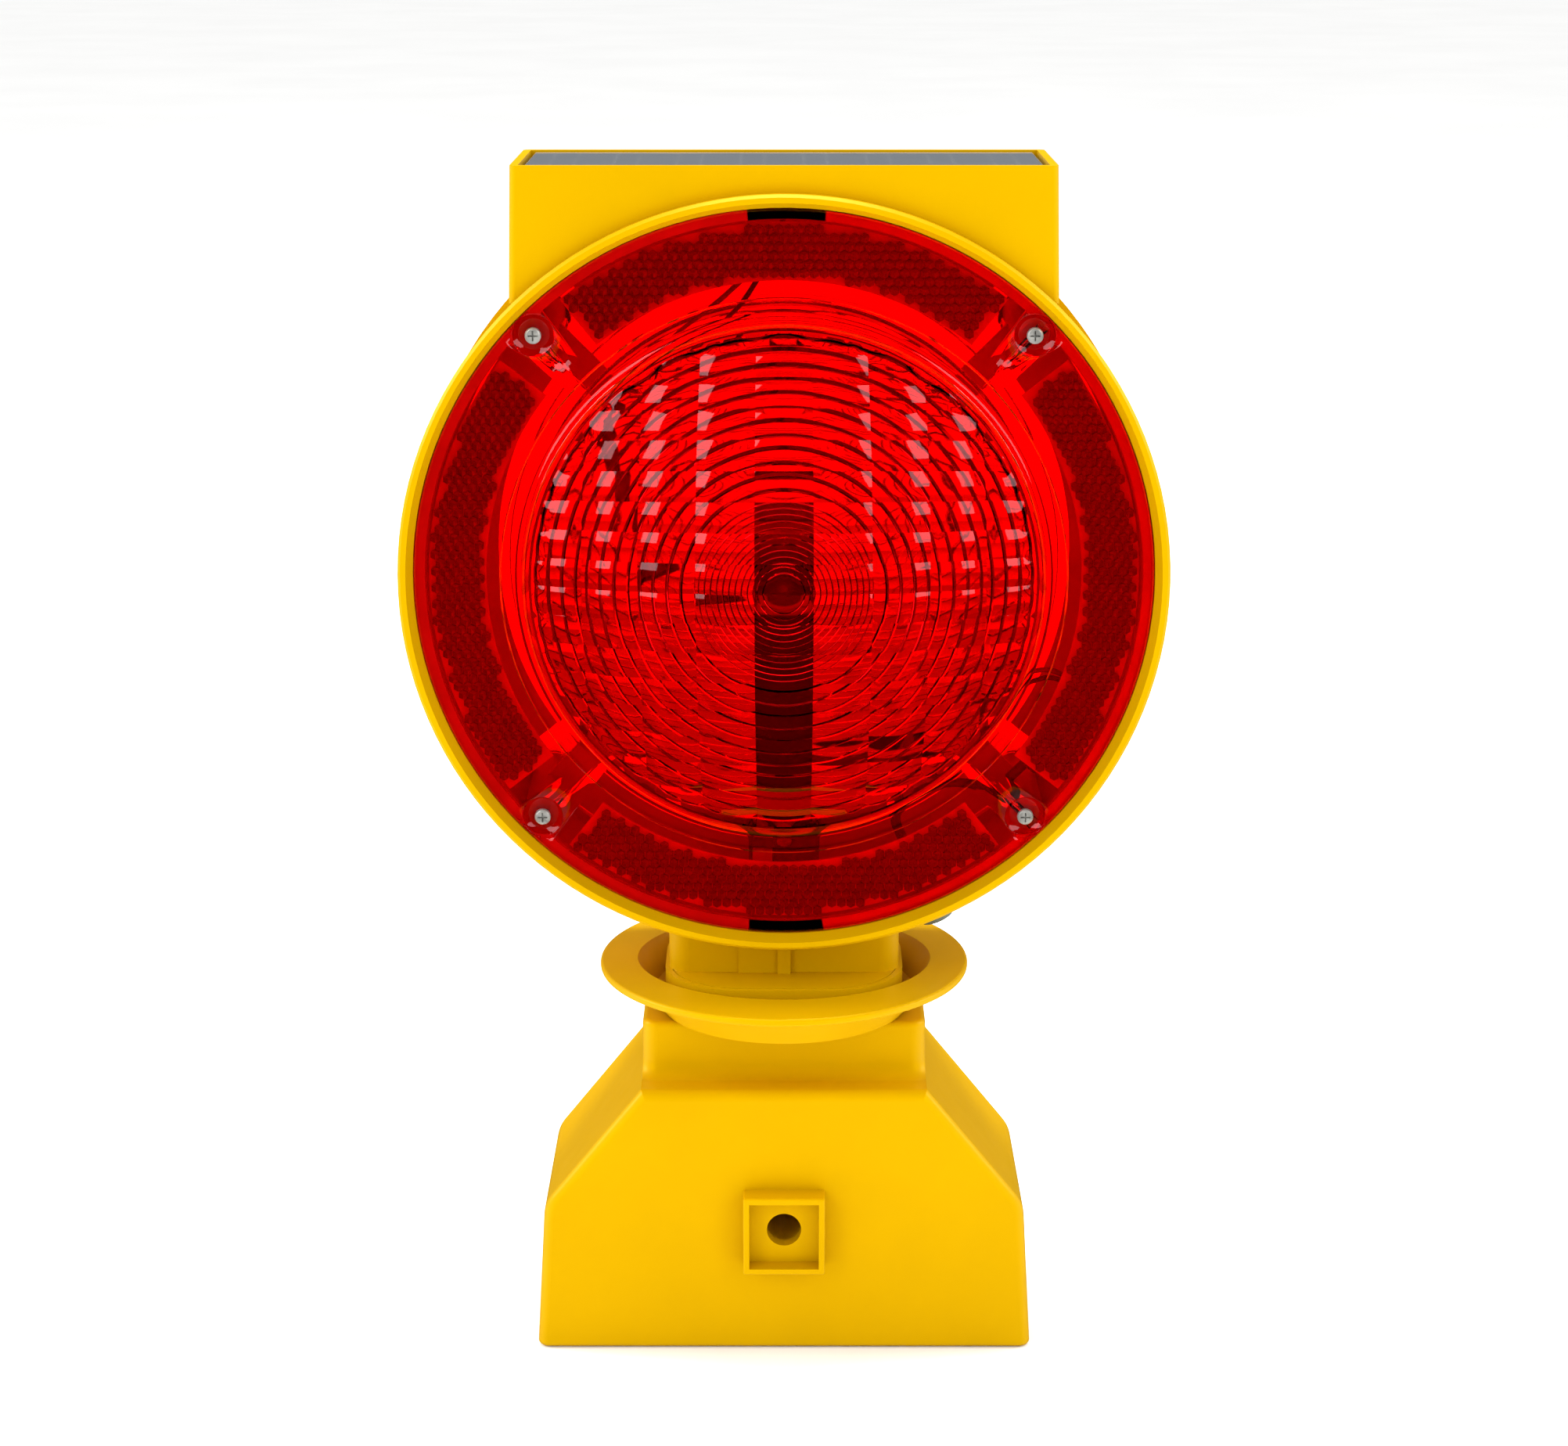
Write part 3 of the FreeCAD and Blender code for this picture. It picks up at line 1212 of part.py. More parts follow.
def light_sensor_window():
    """Round clear window in the sensor housing."""
    face = -BOARD_T / 2 - SENSOR_DEPTH
    centre = Vector(0, face + 2.0, HEAD_Z - SENSOR_BELOW_LED)
    return rod(SENSOR_WINDOW_R, centre, centre - BACK * 1.4)


# ---------------------------------------------------------------- switch
def switch_body():
    """Switch block inside the drum with its bushing through the wall."""
    top = DRUM_BORE_R - SWITCH_PAD_INNER
    half = SWITCH_BODY_SIDE / 2
    block = box(-half, half, -half, half, -SWITCH_BODY_H, 0)
    block.Placement = FreeCAD.Placement(on_switch(top), FreeCAD.Rotation(UP, SWITCH_AXIS))
    bushing = rod(BUSHING_R, on_switch(top), on_switch(NUT_TOP + BUSHING_ABOVE_NUT))
    body = block.fuse(bushing)
    floor = on_switch(top - SWITCH_BODY_H / 2)
    return body.cut(rod(BUSHING_BORE_R, floor, on_switch(NUT_TOP + BUSHING_ABOVE_NUT + 1)))


def hexagon(across_flats, start, end):
    """Hexagonal prism between two points."""
    radius = across_flats / 2 / math.cos(math.radians(30))
    corners = [
        Vector(radius * math.cos(math.radians(60 * i)), radius * math.sin(math.radians(60 * i)), 0)
        for i in range(7)
    ]
    prism = Part.Face(Part.makePolygon(corners)).extrude(Vector(0, 0, (end - start).Length))
    prism.Placement = FreeCAD.Placement(start, FreeCAD.Rotation(UP, end - start))
    return prism


def switch_washer():
    """Rubber washer between nut and drum."""
    return tube(SWITCH_WASHER_R, BUSHING_R, on_switch(SWITCH_SEAT), on_switch(SWITCH_SEAT + SWITCH_WASHER_T))


def switch_nut():
    """Hexagon nut on the bushing."""
    low = on_switch(SWITCH_SEAT + SWITCH_WASHER_T)
    return hexagon(SWITCH_NUT_FLATS, low, on_switch(NUT_TOP)).cut(rod(BUSHING_R, low, on_switch(NUT_TOP)))


def switch_plunger():
    """Pin that slides in the bushing."""
    low = DRUM_BORE_R - SWITCH_PAD_INNER - SWITCH_BODY_H / 2 + BUTTON_TRAVEL + BUTTON_REST_GAP
    high = CAP_BOTTOM + CAP_H / 2
    return rod(BUSHING_BORE_R - PLUNGER_CLEARANCE, on_switch(low), on_switch(high))


def switch_cap():
    """Rubber cap that is pressed."""
    top = on_switch(CAP_BOTTOM + CAP_H)
    cap = rod(CAP_R, on_switch(CAP_BOTTOM), top)
    cap = rounded_edges(cap, CAP_ROUND, lambda e: (e.CenterOfMass - top).Length < 0.1)
    hollow = rod(CAP_BORE_R, on_switch(CAP_BOTTOM), on_switch(CAP_BOTTOM + CAP_H * 0.35))
    pin = rod(BUSHING_BORE_R - PLUNGER_CLEARANCE, on_switch(CAP_BOTTOM), on_switch(CAP_BOTTOM + CAP_H / 2))
    return cap.cut(hollow).cut(pin)


# ---------------------------------------------------------------- leads
def battery_cable_lower():
    """Straight cable on the swivel axis, from the gland into the trunnion."""
    join = NECK_TOP_Z - NECK_PLATE
    return rod(CABLE_R, Vector(0, 0, HOLDER_TOP_Z), Vector(0, 0, join))


def battery_cable_upper():
    """Cable from the trunnion through the stem and the grommet to the foot of the board."""
    join = NECK_TOP_Z - NECK_PLATE + CABLE_JOIN_GAP
    points = [Vector(0, 0, join), Vector(0, 0, join + 11), cable_point(join + 25), cable_point(BOARD_LOW_Z)]
    return lead(points, CABLE_R)


def connector_centres():
    """(x, z) of the sockets for the panel leads, the switch leads and the battery cable."""
    edge_x = (BOARD_WIDTH - CONNECTOR_WIDTH) / 2
    return [
        (-edge_x, HEAD_Z - PANEL_CONNECTOR_BELOW_LED),
        (edge_x, HEAD_Z - SWITCH_CONNECTOR_BELOW_LED),
        (BATTERY_CONNECTOR_X, BOARD_LOW_Z + CONNECTOR_HEIGHT / 2),
    ]


def lead_connectors():
    """White sockets on the front of the board."""
    face = -BOARD_T / 2
    blocks = []
    for x, z in connector_centres():
        half_x = CONNECTOR_WIDTH / 2
        half_z = CONNECTOR_HEIGHT / 2
        blocks.append(box(x - half_x, x + half_x, face - CONNECTOR_DEPTH, face, z - half_z, z + half_z))
    return Part.makeCompound(blocks)


def panel_lead(side):
    """One of two leads from the panel, through the drum's top, to its socket."""
    y = side * LEAD_R
    slack = 3.0 * (1 + side)
    end = Vector(-BOARD_WIDTH / 2, LEAD_Y + y, HEAD_Z - PANEL_CONNECTOR_BELOW_LED)
    points = [
        Vector(0, y, PANEL_FLOOR_Z),
        Vector(0, y, HEAD_Z + 82),
        Vector(-10, y - 1, HEAD_Z + 71 - slack),
        Vector(-30 + slack, y - 2, HEAD_Z + 54 - slack),
        Vector(-38 + slack, y - 3, HEAD_Z + 34),
        Vector(-35 + slack / 2, y - 3, HEAD_Z + 10),
        Vector(-24, LEAD_Y + y, HEAD_Z - 8),
        end,
    ]
    return lead(points, LEAD_R)


def splice_ends():
    """Lower and upper end of the shrink sleeve on the switch leads."""
    low = HEAD_CENTRE + Vector(60.5, -11, -49)
    return low, low + Vector(1, 0, 1).normalize() * SPLICE_LENGTH


def switch_cable():
    """Cable from the switch, past the screw post, to the sleeve."""
    start = on_switch(DRUM_BORE_R - SWITCH_PAD_INNER - SWITCH_BODY_H) + BACK * -3
    points = [
        start,
        start - SWITCH_AXIS * 10.5,
        HEAD_CENTRE + Vector(31, -4.5, -56.5),
        HEAD_CENTRE + Vector(41.7, -8, -53.9),
        HEAD_CENTRE + Vector(53.5, -11, -56),
        splice_ends()[0],
    ]
    return lead(points, SWITCH_CABLE_R)


def switch_lead(side):
    """One of two leads from the sleeve to the board."""
    sleeve = splice_ends()[1]
    y = side * LEAD_R
    drop = 1.5 * (1 - side)
    end = Vector(BOARD_WIDTH / 2, LEAD_Y, HEAD_Z - SWITCH_CONNECTOR_BELOW_LED + side * 2 * LEAD_R)
    points = [
        sleeve + Vector(0, y, 0),
        sleeve + Vector(3, y, 3),
        sleeve + Vector(3, y, 10 - drop / 3),
        sleeve + Vector(-3.5, y, 14.5 - drop / 2),
        sleeve + Vector(-13, 1 + y, 13.5 - drop),
        sleeve + Vector(-23, 3 + y, 5.5 - drop),
        end + Vector(14, y, 1),
        end,
    ]
    return lead(points, LEAD_R)


def splice_sleeve():
    """Shrink sleeve where the switch cable splits into two leads."""
    low, high = splice_ends()
    return rod(SPLICE_R, low, high)


def grommet(bore_r, low, top):
    """Rubber sleeve with a lip on its upper end."""
    body_r = bore_r + GROMMET_WALL
    whole = rod(body_r, low, top).fuse(rod(body_r + GROMMET_LIP, top, top + UP * GROMMET_LIP_T))
    return whole.cut(rod(bore_r, low - UP, top + UP * 2 * GROMMET_LIP_T))


def lead_grommets():
    """Grommets at the cable hole and at the panel leads' hole."""
    cable = grommet(CABLE_R, cable_point(PAD_Z - PAD_RISE), cable_point(PLATE_Z))
    low = Vector(0, 0, HEAD_Z + DRUM_BORE_R - 1)
    return Part.makeCompound([cable, grommet(2 * LEAD_R, low, Vector(0, 0, HEAD_Z + DRUM_R))])


def main():
    os.makedirs("parts", exist_ok=True)
    save("base_front_shell", base_shell(-1))
    save("base_rear_shell", base_shell(1))
    save("shell_screws", shell_screws())
    save("battery_holder", battery_holder())
    save("battery_cell_left", upright_or_turned(battery_cell(), -1))
    save("battery_cell_right", upright_or_turned(battery_cell(), 1))
    save("battery_springs", Part.makeCompound([battery_spring(side) for side in (-1, 1)]))
    save("battery_contacts", battery_contacts())
    save("battery_cable_lower", battery_cable_lower())
    save("neck_collar", neck_collar())
    save("collar_screws", collar_screws())
    save("head_housing", head_housing())
    rear_set = [
        ("lens", lens()),
        ("lens_gasket", lens_gasket()),
        ("lens_screws", lens_screws()),
        ("reflectors", reflectors()),
        ("led", led()),
        ("led_shroud", led_shroud()),
    ]
    for name, shape in rear_set:
        save("rear_" + name, shape)
        save("front_" + name, facing_front(shape))
    save("solar_panel_board", solar_panel_board())
    save("solar_cells", solar_cells())
    save("solar_panel_cover", solar_panel_cover())
    save("panel_seal", panel_seal())
    save("led_post", led_post())
    save("post_screws", post_screws())
    save("control_board", control_board())
    save("board_screws", board_screws())
    save("board_chips", board_chips())
    save("board_capacitors", board_capacitors())
    save("light_sensor_cap", light_sensor_cap())
    save("light_sensor_window", light_sensor_window())
    save("switch_body", switch_body())
    save("switch_washer", switch_washer())
    save("switch_nut", switch_nut())
    save("switch_plunger", switch_plunger())
    save("switch_cap", switch_cap())
    save("battery_cable_upper", battery_cable_upper())
    save("lead_grommets", lead_grommets())
    save("lead_connectors", lead_connectors())
    save("panel_lead_red", panel_lead(-1))
    save("panel_lead_black", panel_lead(1))
    save("switch_cable", switch_cable())
    save("splice_sleeve", splice_sleeve())
    save("switch_lead_upper", switch_lead(1))
    save("switch_lead_lower", switch_lead(-1))


main()
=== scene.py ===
"""Solar warning lamp: the finished look of each piece, and the stage it stands on."""

import itertools
import json
import math

import bmesh
import bpy
from mathutils import Matrix, Vector


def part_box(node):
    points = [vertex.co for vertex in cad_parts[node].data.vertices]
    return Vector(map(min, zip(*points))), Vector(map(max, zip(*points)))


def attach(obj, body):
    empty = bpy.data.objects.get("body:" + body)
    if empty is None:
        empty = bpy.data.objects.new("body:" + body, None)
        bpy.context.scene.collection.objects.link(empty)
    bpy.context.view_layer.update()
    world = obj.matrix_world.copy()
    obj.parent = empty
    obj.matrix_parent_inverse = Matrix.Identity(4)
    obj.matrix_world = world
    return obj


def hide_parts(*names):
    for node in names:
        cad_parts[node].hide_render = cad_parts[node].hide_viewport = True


bl_info = {
    "name": "Solar warning lamp",
    "version": (1, 0, 0),
    "blender": (4, 5, 0),
    "location": "View3D > Sidebar > Lamp",
    "description": "Builds the finished look of a two-sided solar warning lamp",
    "category": "Object",
}

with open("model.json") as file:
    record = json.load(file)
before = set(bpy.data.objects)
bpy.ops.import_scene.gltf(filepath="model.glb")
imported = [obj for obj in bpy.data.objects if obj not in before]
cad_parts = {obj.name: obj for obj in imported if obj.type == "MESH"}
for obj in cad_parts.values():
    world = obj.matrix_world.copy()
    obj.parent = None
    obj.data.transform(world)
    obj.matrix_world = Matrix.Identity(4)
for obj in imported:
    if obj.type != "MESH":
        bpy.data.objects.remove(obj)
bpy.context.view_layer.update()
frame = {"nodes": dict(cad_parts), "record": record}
MM = 0.001
TURN = 2 * math.pi
HALF_TURN = Matrix.Rotation(math.pi, 4, "Z")

REAR_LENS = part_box("rear_lens")
HEAD_Z = (REAR_LENS[0].z + REAR_LENS[1].z) / 2
LENS_R = (REAR_LENS[1].x - REAR_LENS[0].x) / 2
LENS_BACK = REAR_LENS[0].y
FLANGE_WIDTH = 21.1 * MM
DOME_R = LENS_R - FLANGE_WIDTH
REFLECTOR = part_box("rear_reflectors")
REFLECTOR_R = (REFLECTOR[1].x - REFLECTOR[0].x) / 2
REFLECTOR_WIDTH = 14 * MM
SCREW_HALF_GAP_DEG = 6.8
SCREW_INSET = 5.3 * MM
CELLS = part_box("solar_cells")
CAP_AXIS = Vector((math.cos(math.radians(-67)), 0, math.sin(math.radians(-67))))
SIDES = ("front", "rear")

CAMERA_PLACE = (0, -0.7717, 0.3702)
CAMERA_DOWN = 0.2595
CAMERA_LENS_MM = 72.2
CAMERA_SHIFT = -0.0126
SURROUND_STRENGTH = 1.1
# Each row: name, place, width and height, power.
SOFTBOXES = (
    ("left_softbox", (-1.05, -1.25, 0.9), (0.5, 1.1), 7),
    ("right_softbox", (1.15, -1.2, 0.88), (0.45, 1.05), 5),
    ("top_softbox", (0, 0.25, 1.9), (0.9, 0.7), 46),
    ("left_fill", (-1.4, 0.1, 0.9), (0.5, 0.9), 14),
    ("right_fill", (1.4, 0.1, 0.9), (0.5, 0.9), 10),
)


# ---------------------------------------------------------------- sizes and colours a user may change
class LampSizes(bpy.types.PropertyGroup):
    """Sizes of the moulded detail."""

    pillow_width: bpy.props.FloatProperty(
        name="Pillow width", description="Width of one lens pillow", default=14.3 * MM, unit="LENGTH"
    )
    pillow_height: bpy.props.FloatProperty(
        name="Pillow height", description="Height of one lens pillow", default=7.5 * MM, unit="LENGTH"
    )
    dome_wall: bpy.props.FloatProperty(
        name="Dome wall", description="Thickness of the lens dome", default=4.4 * MM, unit="LENGTH"
    )
    ring_slope: bpy.props.FloatProperty(
        name="Ring slope", description="Slope of the outermost prism ring", default=0.55
    )
    pillow_sag_across: bpy.props.FloatProperty(
        name="Pillow sag across",
        description="Fall of a pillow at its left and right",
        default=0.8 * MM,
        unit="LENGTH",
    )
    pillow_sag_up: bpy.props.FloatProperty(
        name="Pillow sag up",
        description="Fall of a pillow at its top and bottom",
        default=0.5 * MM,
        unit="LENGTH",
    )
    pillow_reach: bpy.props.FloatProperty(
        name="Pillow field",
        description="Radius of the lens that has pillows",
        default=61 * MM,
        unit="LENGTH",
    )
    ring_pitch_inner: bpy.props.FloatProperty(
        name="Inner ring pitch",
        description="Spacing of the prism rings near the middle",
        default=1.4 * MM,
        unit="LENGTH",
    )
    ring_pitch_outer: bpy.props.FloatProperty(
        name="Outer ring pitch",
        description="Spacing of the prism rings further out",
        default=3.2 * MM,
        unit="LENGTH",
    )
    prism_pitch: bpy.props.FloatProperty(
        name="Prism pitch",
        description="Spacing of the reflector's hexagons",
        default=2.4 * MM,
        unit="LENGTH",
    )
    busbar_width: bpy.props.FloatProperty(
        name="Busbar width",
        description="Width of the silver strip on a solar cell",
        default=0.9 * MM,
        unit="LENGTH",
    )


class LampColours(bpy.types.PropertyGroup):
    """Colours of the finishes, as sRGB hex values."""

    housing: bpy.props.StringProperty(
        name="Housing", description="Yellow of the mouldings", default="#C89A00"
    )
    lens: bpy.props.StringProperty(name="Lens", description="Red of the thin flange", default="#FF0606")
    # The dome's darker red is partly its thicker wall and partly painted shade.
    dome: bpy.props.StringProperty(name="Dome", description="Red of the thicker dome", default="#DA0307")
    # The prisms' dark red is a painted reflection of the dark surroundings they send back.
    reflector: bpy.props.StringProperty(name="Reflector", description="Red of the prisms", default="#560306")
    floor: bpy.props.StringProperty(name="Floor", description="Pale floor", default="#FCFCFB")


def sizes():
    return bpy.context.scene.lamp_sizes


def colours():
    return bpy.context.scene.lamp_colours


# ---------------------------------------------------------------- materials
def linear(code):
    """Linear colour of an sRGB hex value."""
    parts = [int(code[i : i + 2], 16) / 255 for i in (1, 3, 5)]
    return [p / 12.92 if p <= 0.04045 else ((p + 0.055) / 1.055) ** 2.4 for p in parts] + [1.0]


def add(tree, kind, settings=None, links=None):
    """Adds a node, sets its properties and inputs, and links its inputs."""
    node = tree.nodes.new("ShaderNode" + kind)
    for name, value in (settings or {}).items():
        if isinstance(name, int) or name in node.inputs:
            node.inputs[name].default_value = value
        else:
            setattr(node, name, value)
    for name, socket in (links or {}).items():
        tree.links.new(socket, node.inputs[name])
    return node


def new_material(name, surface):
    """A material with a Principled surface whose sockets are set, and its coordinates in metres."""
    material = bpy.data.materials.new(name)
    material.use_nodes = True
    tree = material.node_tree
    tree.nodes.clear()
    shader = add(tree, "BsdfPrincipled", surface)
    add(tree, "OutputMaterial", None, {"Surface": shader.outputs[0]})
    coordinates = add(tree, "TexCoord").outputs["Object"]
    return material, tree, shader, coordinates


def per_metre(size_mm):
    """Noise scale whose blotches are about this size."""
    return 1000 / size_mm


def varied_colour(tree, shader, coordinates, codes, size_mm, spread=(0.35, 0.65)):
    """Base colour that drifts between two colours."""
    noise = add(tree, "TexNoise", {"Scale": per_metre(size_mm), "Detail": 3.0}, {"Vector": coordinates})
    ramp = add(tree, "ValToRGB", None, {"Fac": noise.outputs["Fac"]})
    for element, place, code in zip(ramp.color_ramp.elements, spread, codes):
        element.position = place
        element.color = linear(code)
    tree.links.new(ramp.outputs["Color"], shader.inputs["Base Color"])


def varied_roughness(tree, shader, coordinates, low, high, size_mm):
    """Roughness that drifts between two values."""
    noise = add(tree, "TexNoise", {"Scale": per_metre(size_mm), "Detail": 4.0}, {"Vector": coordinates})
    spread = add(tree, "MapRange", {"To Min": low, "To Max": high}, {"Value": noise.outputs["Fac"]})
    tree.links.new(spread.outputs["Result"], shader.inputs["Roughness"])


def grained(tree, shader, coordinates, size_mm, depth_mm, detail=2.0, stretch=(1, 1, 1)):
    """Fine relief of the surface."""
    placed = add(tree, "Mapping", {"Scale": stretch}, {"Vector": coordinates})
    noise = add(
        tree, "TexNoise", {"Scale": per_metre(size_mm), "Detail": detail}, {"Vector": placed.outputs[0]}
    )
    bump = add(tree, "Bump", {"Distance": depth_mm * MM}, {"Height": noise.outputs["Fac"]})
    tree.links.new(bump.outputs["Normal"], shader.inputs["Normal"])
    return bump


def plain_finish(name, codes, rough, grain_mm, grain_depth, blotch_mm=12.0):
    """A dull or glossy material with a drifting colour, a drifting gloss and a fine relief."""
    material, tree, shader, coordinates = new_material(name, {})
    varied_colour(tree, shader, coordinates, codes, blotch_mm)
    varied_roughness(tree, shader, coordinates, rough[0], rough[1], blotch_mm / 2)
    grained(tree, shader, coordinates, grain_mm, grain_depth)
    return material


def darker(code, share):
    """The same colour, a little darker."""
    parts = [round(int(code[i : i + 2], 16) * share) for i in (1, 3, 5)]
    return "#" + "".join(f"{p:02X}" for p in parts)


def yellow_moulding():
    """ABS moulded in a lightly sparked tool: even colour, soft gloss and slow flow waves."""
    code = colours().housing
    material, tree, shader, coordinates = new_material(
        "ABS_moulded_yellow", {"IOR": 1.53, "Specular Tint": linear("#FFC400")}
    )
    varied_colour(tree, shader, coordinates, (code, darker(code, 0.975)), 38.0)
    varied_roughness(tree, shader, coordinates, 0.30, 0.40, 9.0)
    # The tool's grain is about 0.2 mm, too fine to show, so it is drawn at 0.9 mm.
    grain = grained(tree, shader, coordinates, 0.9, 0.006)
    waves = add(tree, "TexNoise", {"Scale": per_metre(22.0), "Detail": 1.0}, {"Vector": coordinates})
    slow = add(
        tree,
        "Bump",
        {"Distance": 0.05 * MM},
        {"Height": waves.outputs["Fac"], "Normal": grain.outputs["Normal"]},
    )
    tree.links.new(slow.outputs["Normal"], shader.inputs["Normal"])
    return material


def red_lens_plastic():
    """Polycarbonate from a polished tool: clear red, a little rippled, with the dome a darker red than the
    flange, partly for its thicker wall and partly as painted shade.
    """
    surface = {
        "Transmission Weight": 1.0,
        "IOR": 1.58,
        "Specular Tint": linear("#FFC8CC"),
    }
    material, tree, shader, coordinates = new_material("polycarbonate_moulded_red", surface)
    centred = add(tree, "VectorMath", {"operation": "SUBTRACT", 1: (0, 0, HEAD_Z)}, {0: coordinates})
    flattened = add(
        tree, "VectorMath", {"operation": "MULTIPLY", 1: (1, 0, 1)}, {0: centred.outputs["Vector"]}
    )
    reach = add(tree, "VectorMath", {"operation": "LENGTH"}, {0: flattened.outputs["Vector"]})
    edge = sizes().pillow_reach
    share = add(
        tree, "MapRange", {"From Min": edge, "From Max": edge + 2 * MM}, {"Value": reach.outputs["Value"]}
    )
    # Dome red inside the pillow field, flange red outside: the dome's darker red is partly its thicker wall,
    # partly painted shade.
    mixed = add(
        tree,
        "Mix",
        {"data_type": "RGBA", 6: linear(colours().dome), 7: linear(colours().lens)},
        {0: share.outputs["Result"]},
    )
    tree.links.new(mixed.outputs[2], shader.inputs["Base Color"])
    varied_roughness(tree, shader, coordinates, 0.02, 0.05, 14.0)
    grained(tree, shader, coordinates, 9.0, 0.02, 1.0)
    return material


def reflector_plastic():
    """Acrylic prisms with glossy facets that send light back; their deep dark red is a painted reflection,
    standing in for the dark surroundings the prisms send back.
    """
    code = colours().reflector
    material, tree, shader, coordinates = new_material(
        "acrylic_prism_red", {"IOR": 1.49, "Specular Tint": linear("#FF6060"), "Coat Weight": 0.3}
    )
    # The deep dark red is a painted reflection of the dark surroundings the prisms send back; the darker
    # blotches are random tone.
    varied_colour(tree, shader, coordinates, (code, darker(code, 0.6)), 5.0)
    varied_roughness(tree, shader, coordinates, 0.12, 0.25, 4.0)
    grained(tree, shader, coordinates, 1.2, 0.01)
    return material


def resin_with_painted_reflection():
    """Poured clear resin over the cells, with a faint unevenness; its pale grey, partly diffuse, is a
    painted reflection of the bright surround.
    """
    # The pale grey base shows as diffuse where the resin doesn't transmit: a painted reflection of the
    # surround, which glossy rays don't see.
    surface = {"Base Color": linear("#A9AFB5"), "Transmission Weight": 0.55, "IOR": 1.5}
    material, tree, shader, coordinates = new_material("resin_poured_clear", surface)
    varied_roughness(tree, shader, coordinates, 0.03, 0.08, 20.0)
    grained(tree, shader, coordinates, 14.0, 0.06, 1.0)
    return material


def clear_window():
    """Clear polycarbonate window of the light sensor."""
    surface = {"Base Color": linear("#F2F4F4"), "Transmission Weight": 1.0, "IOR": 1.58}
    material, tree, shader, coordinates = new_material("polycarbonate_moulded_clear", surface)
    varied_roughness(tree, shader, coordinates, 0.04, 0.12, 3.0)
    grained(tree, shader, coordinates, 2.0, 0.01)
    return material


def silicon():
    """Crystalline silicon with an etched surface: near black blue with fine silver fingers."""
    surface = {"IOR": 2.0, "Coat Weight": 0.4}
    material, tree, shader, coordinates = new_material("silicon_etched_blue", surface)
    noise = add(tree, "TexVoronoi", {"Scale": per_metre(5.0)}, {"Vector": coordinates})
    ramp = add(tree, "ValToRGB", None, {"Fac": noise.outputs["Color"]})
    for element, place, code in zip(ramp.color_ramp.elements, (0.2, 0.8), ("#10141F", "#222B40")):
        element.position = place
        element.color = linear(code)
    # Fingers run across the busbar every 1.8 mm.
    bands = add(
        tree,
        "TexWave",
        {"Scale": per_metre(1.8) / 20, "bands_direction": "Y", "wave_profile": "SIN"},
        {"Vector": coordinates},
    )
    fingers = add(
        tree, "MapRange", {"From Min": 0.93, "From Max": 0.98}, {"Value": bands.outputs["Fac"]}
    )
    mixed = add(
        tree,
        "Mix",
        {"data_type": "RGBA", 7: linear("#8E9298")},
        {0: fingers.outputs["Result"], 6: ramp.outputs["Color"]},
    )
    tree.links.new(mixed.outputs[2], shader.inputs["Base Color"])
    varied_roughness(tree, shader, coordinates, 0.22, 0.34, 6.0)
    return material


def plated_steel(name, codes, rough, stretch):
    """Turned or rolled steel with a bright plating and fine tool marks; part of its brightness is a painted
    reflection, as the pale colour also shows as diffuse.
    """
    # Metallic is 0.6, so the pale colour also shows as diffuse: a painted reflection of the surround, which
    # glossy rays don't see.
    material, tree, shader, coordinates = new_material(name, {"Metallic": 0.6})
    varied_colour(tree, shader, coordinates, codes, 2.0)
    varied_roughness(tree, shader, coordinates, rough[0], rough[1], 1.2)
    grained(tree, shader, coordinates, 0.6, 0.01, 3.0, stretch)
    return material


def solder_mask():
    """Glass-fibre board under green solder mask, with raised copper tracks."""
    material, tree, shader, coordinates = new_material(
        "glass_fibre_board_green", {"IOR": 1.5, "Coat Weight": 0.4, "Coat Roughness": 0.2}
    )
    tracks = add(
        tree,
        "TexBrick",
        {
            "Scale": 1.0,
            "Brick Width": 5.2 * MM,
            "Row Height": 2.1 * MM,
            "Mortar Size": 0.25 * MM,
            "Color1": linear("#0B3A1C"),
            "Color2": linear("#0E4522"),
            "Mortar": linear("#1B6A35"),
        },
        None,
    )
    turned = add(tree, "Mapping", {"Rotation": (math.pi / 2, 0, 0)}, {"Vector": coordinates})
    tree.links.new(turned.outputs[0], tracks.inputs["Vector"])
    tree.links.new(tracks.outputs["Color"], shader.inputs["Base Color"])
    varied_roughness(tree, shader, coordinates, 0.25, 0.4, 3.0)
    bump = add(tree, "Bump", {"Distance": 0.04 * MM}, {"Height": tracks.outputs["Fac"]})
    tree.links.new(bump.outputs["Normal"], shader.inputs["Normal"])
    return material


def led_resin():
    """Tinted casting resin of the LED."""
    surface = {"Transmission Weight": 0.6, "IOR": 1.5, "Roughness": 0.1}
    material, tree, shader, coordinates = new_material("epoxy_cast_red", surface)
    varied_colour(tree, shader, coordinates, ("#D8403A", "#B81E1A"), 3.0)
    grained(tree, shader, coordinates, 2.0, 0.01)
    return material


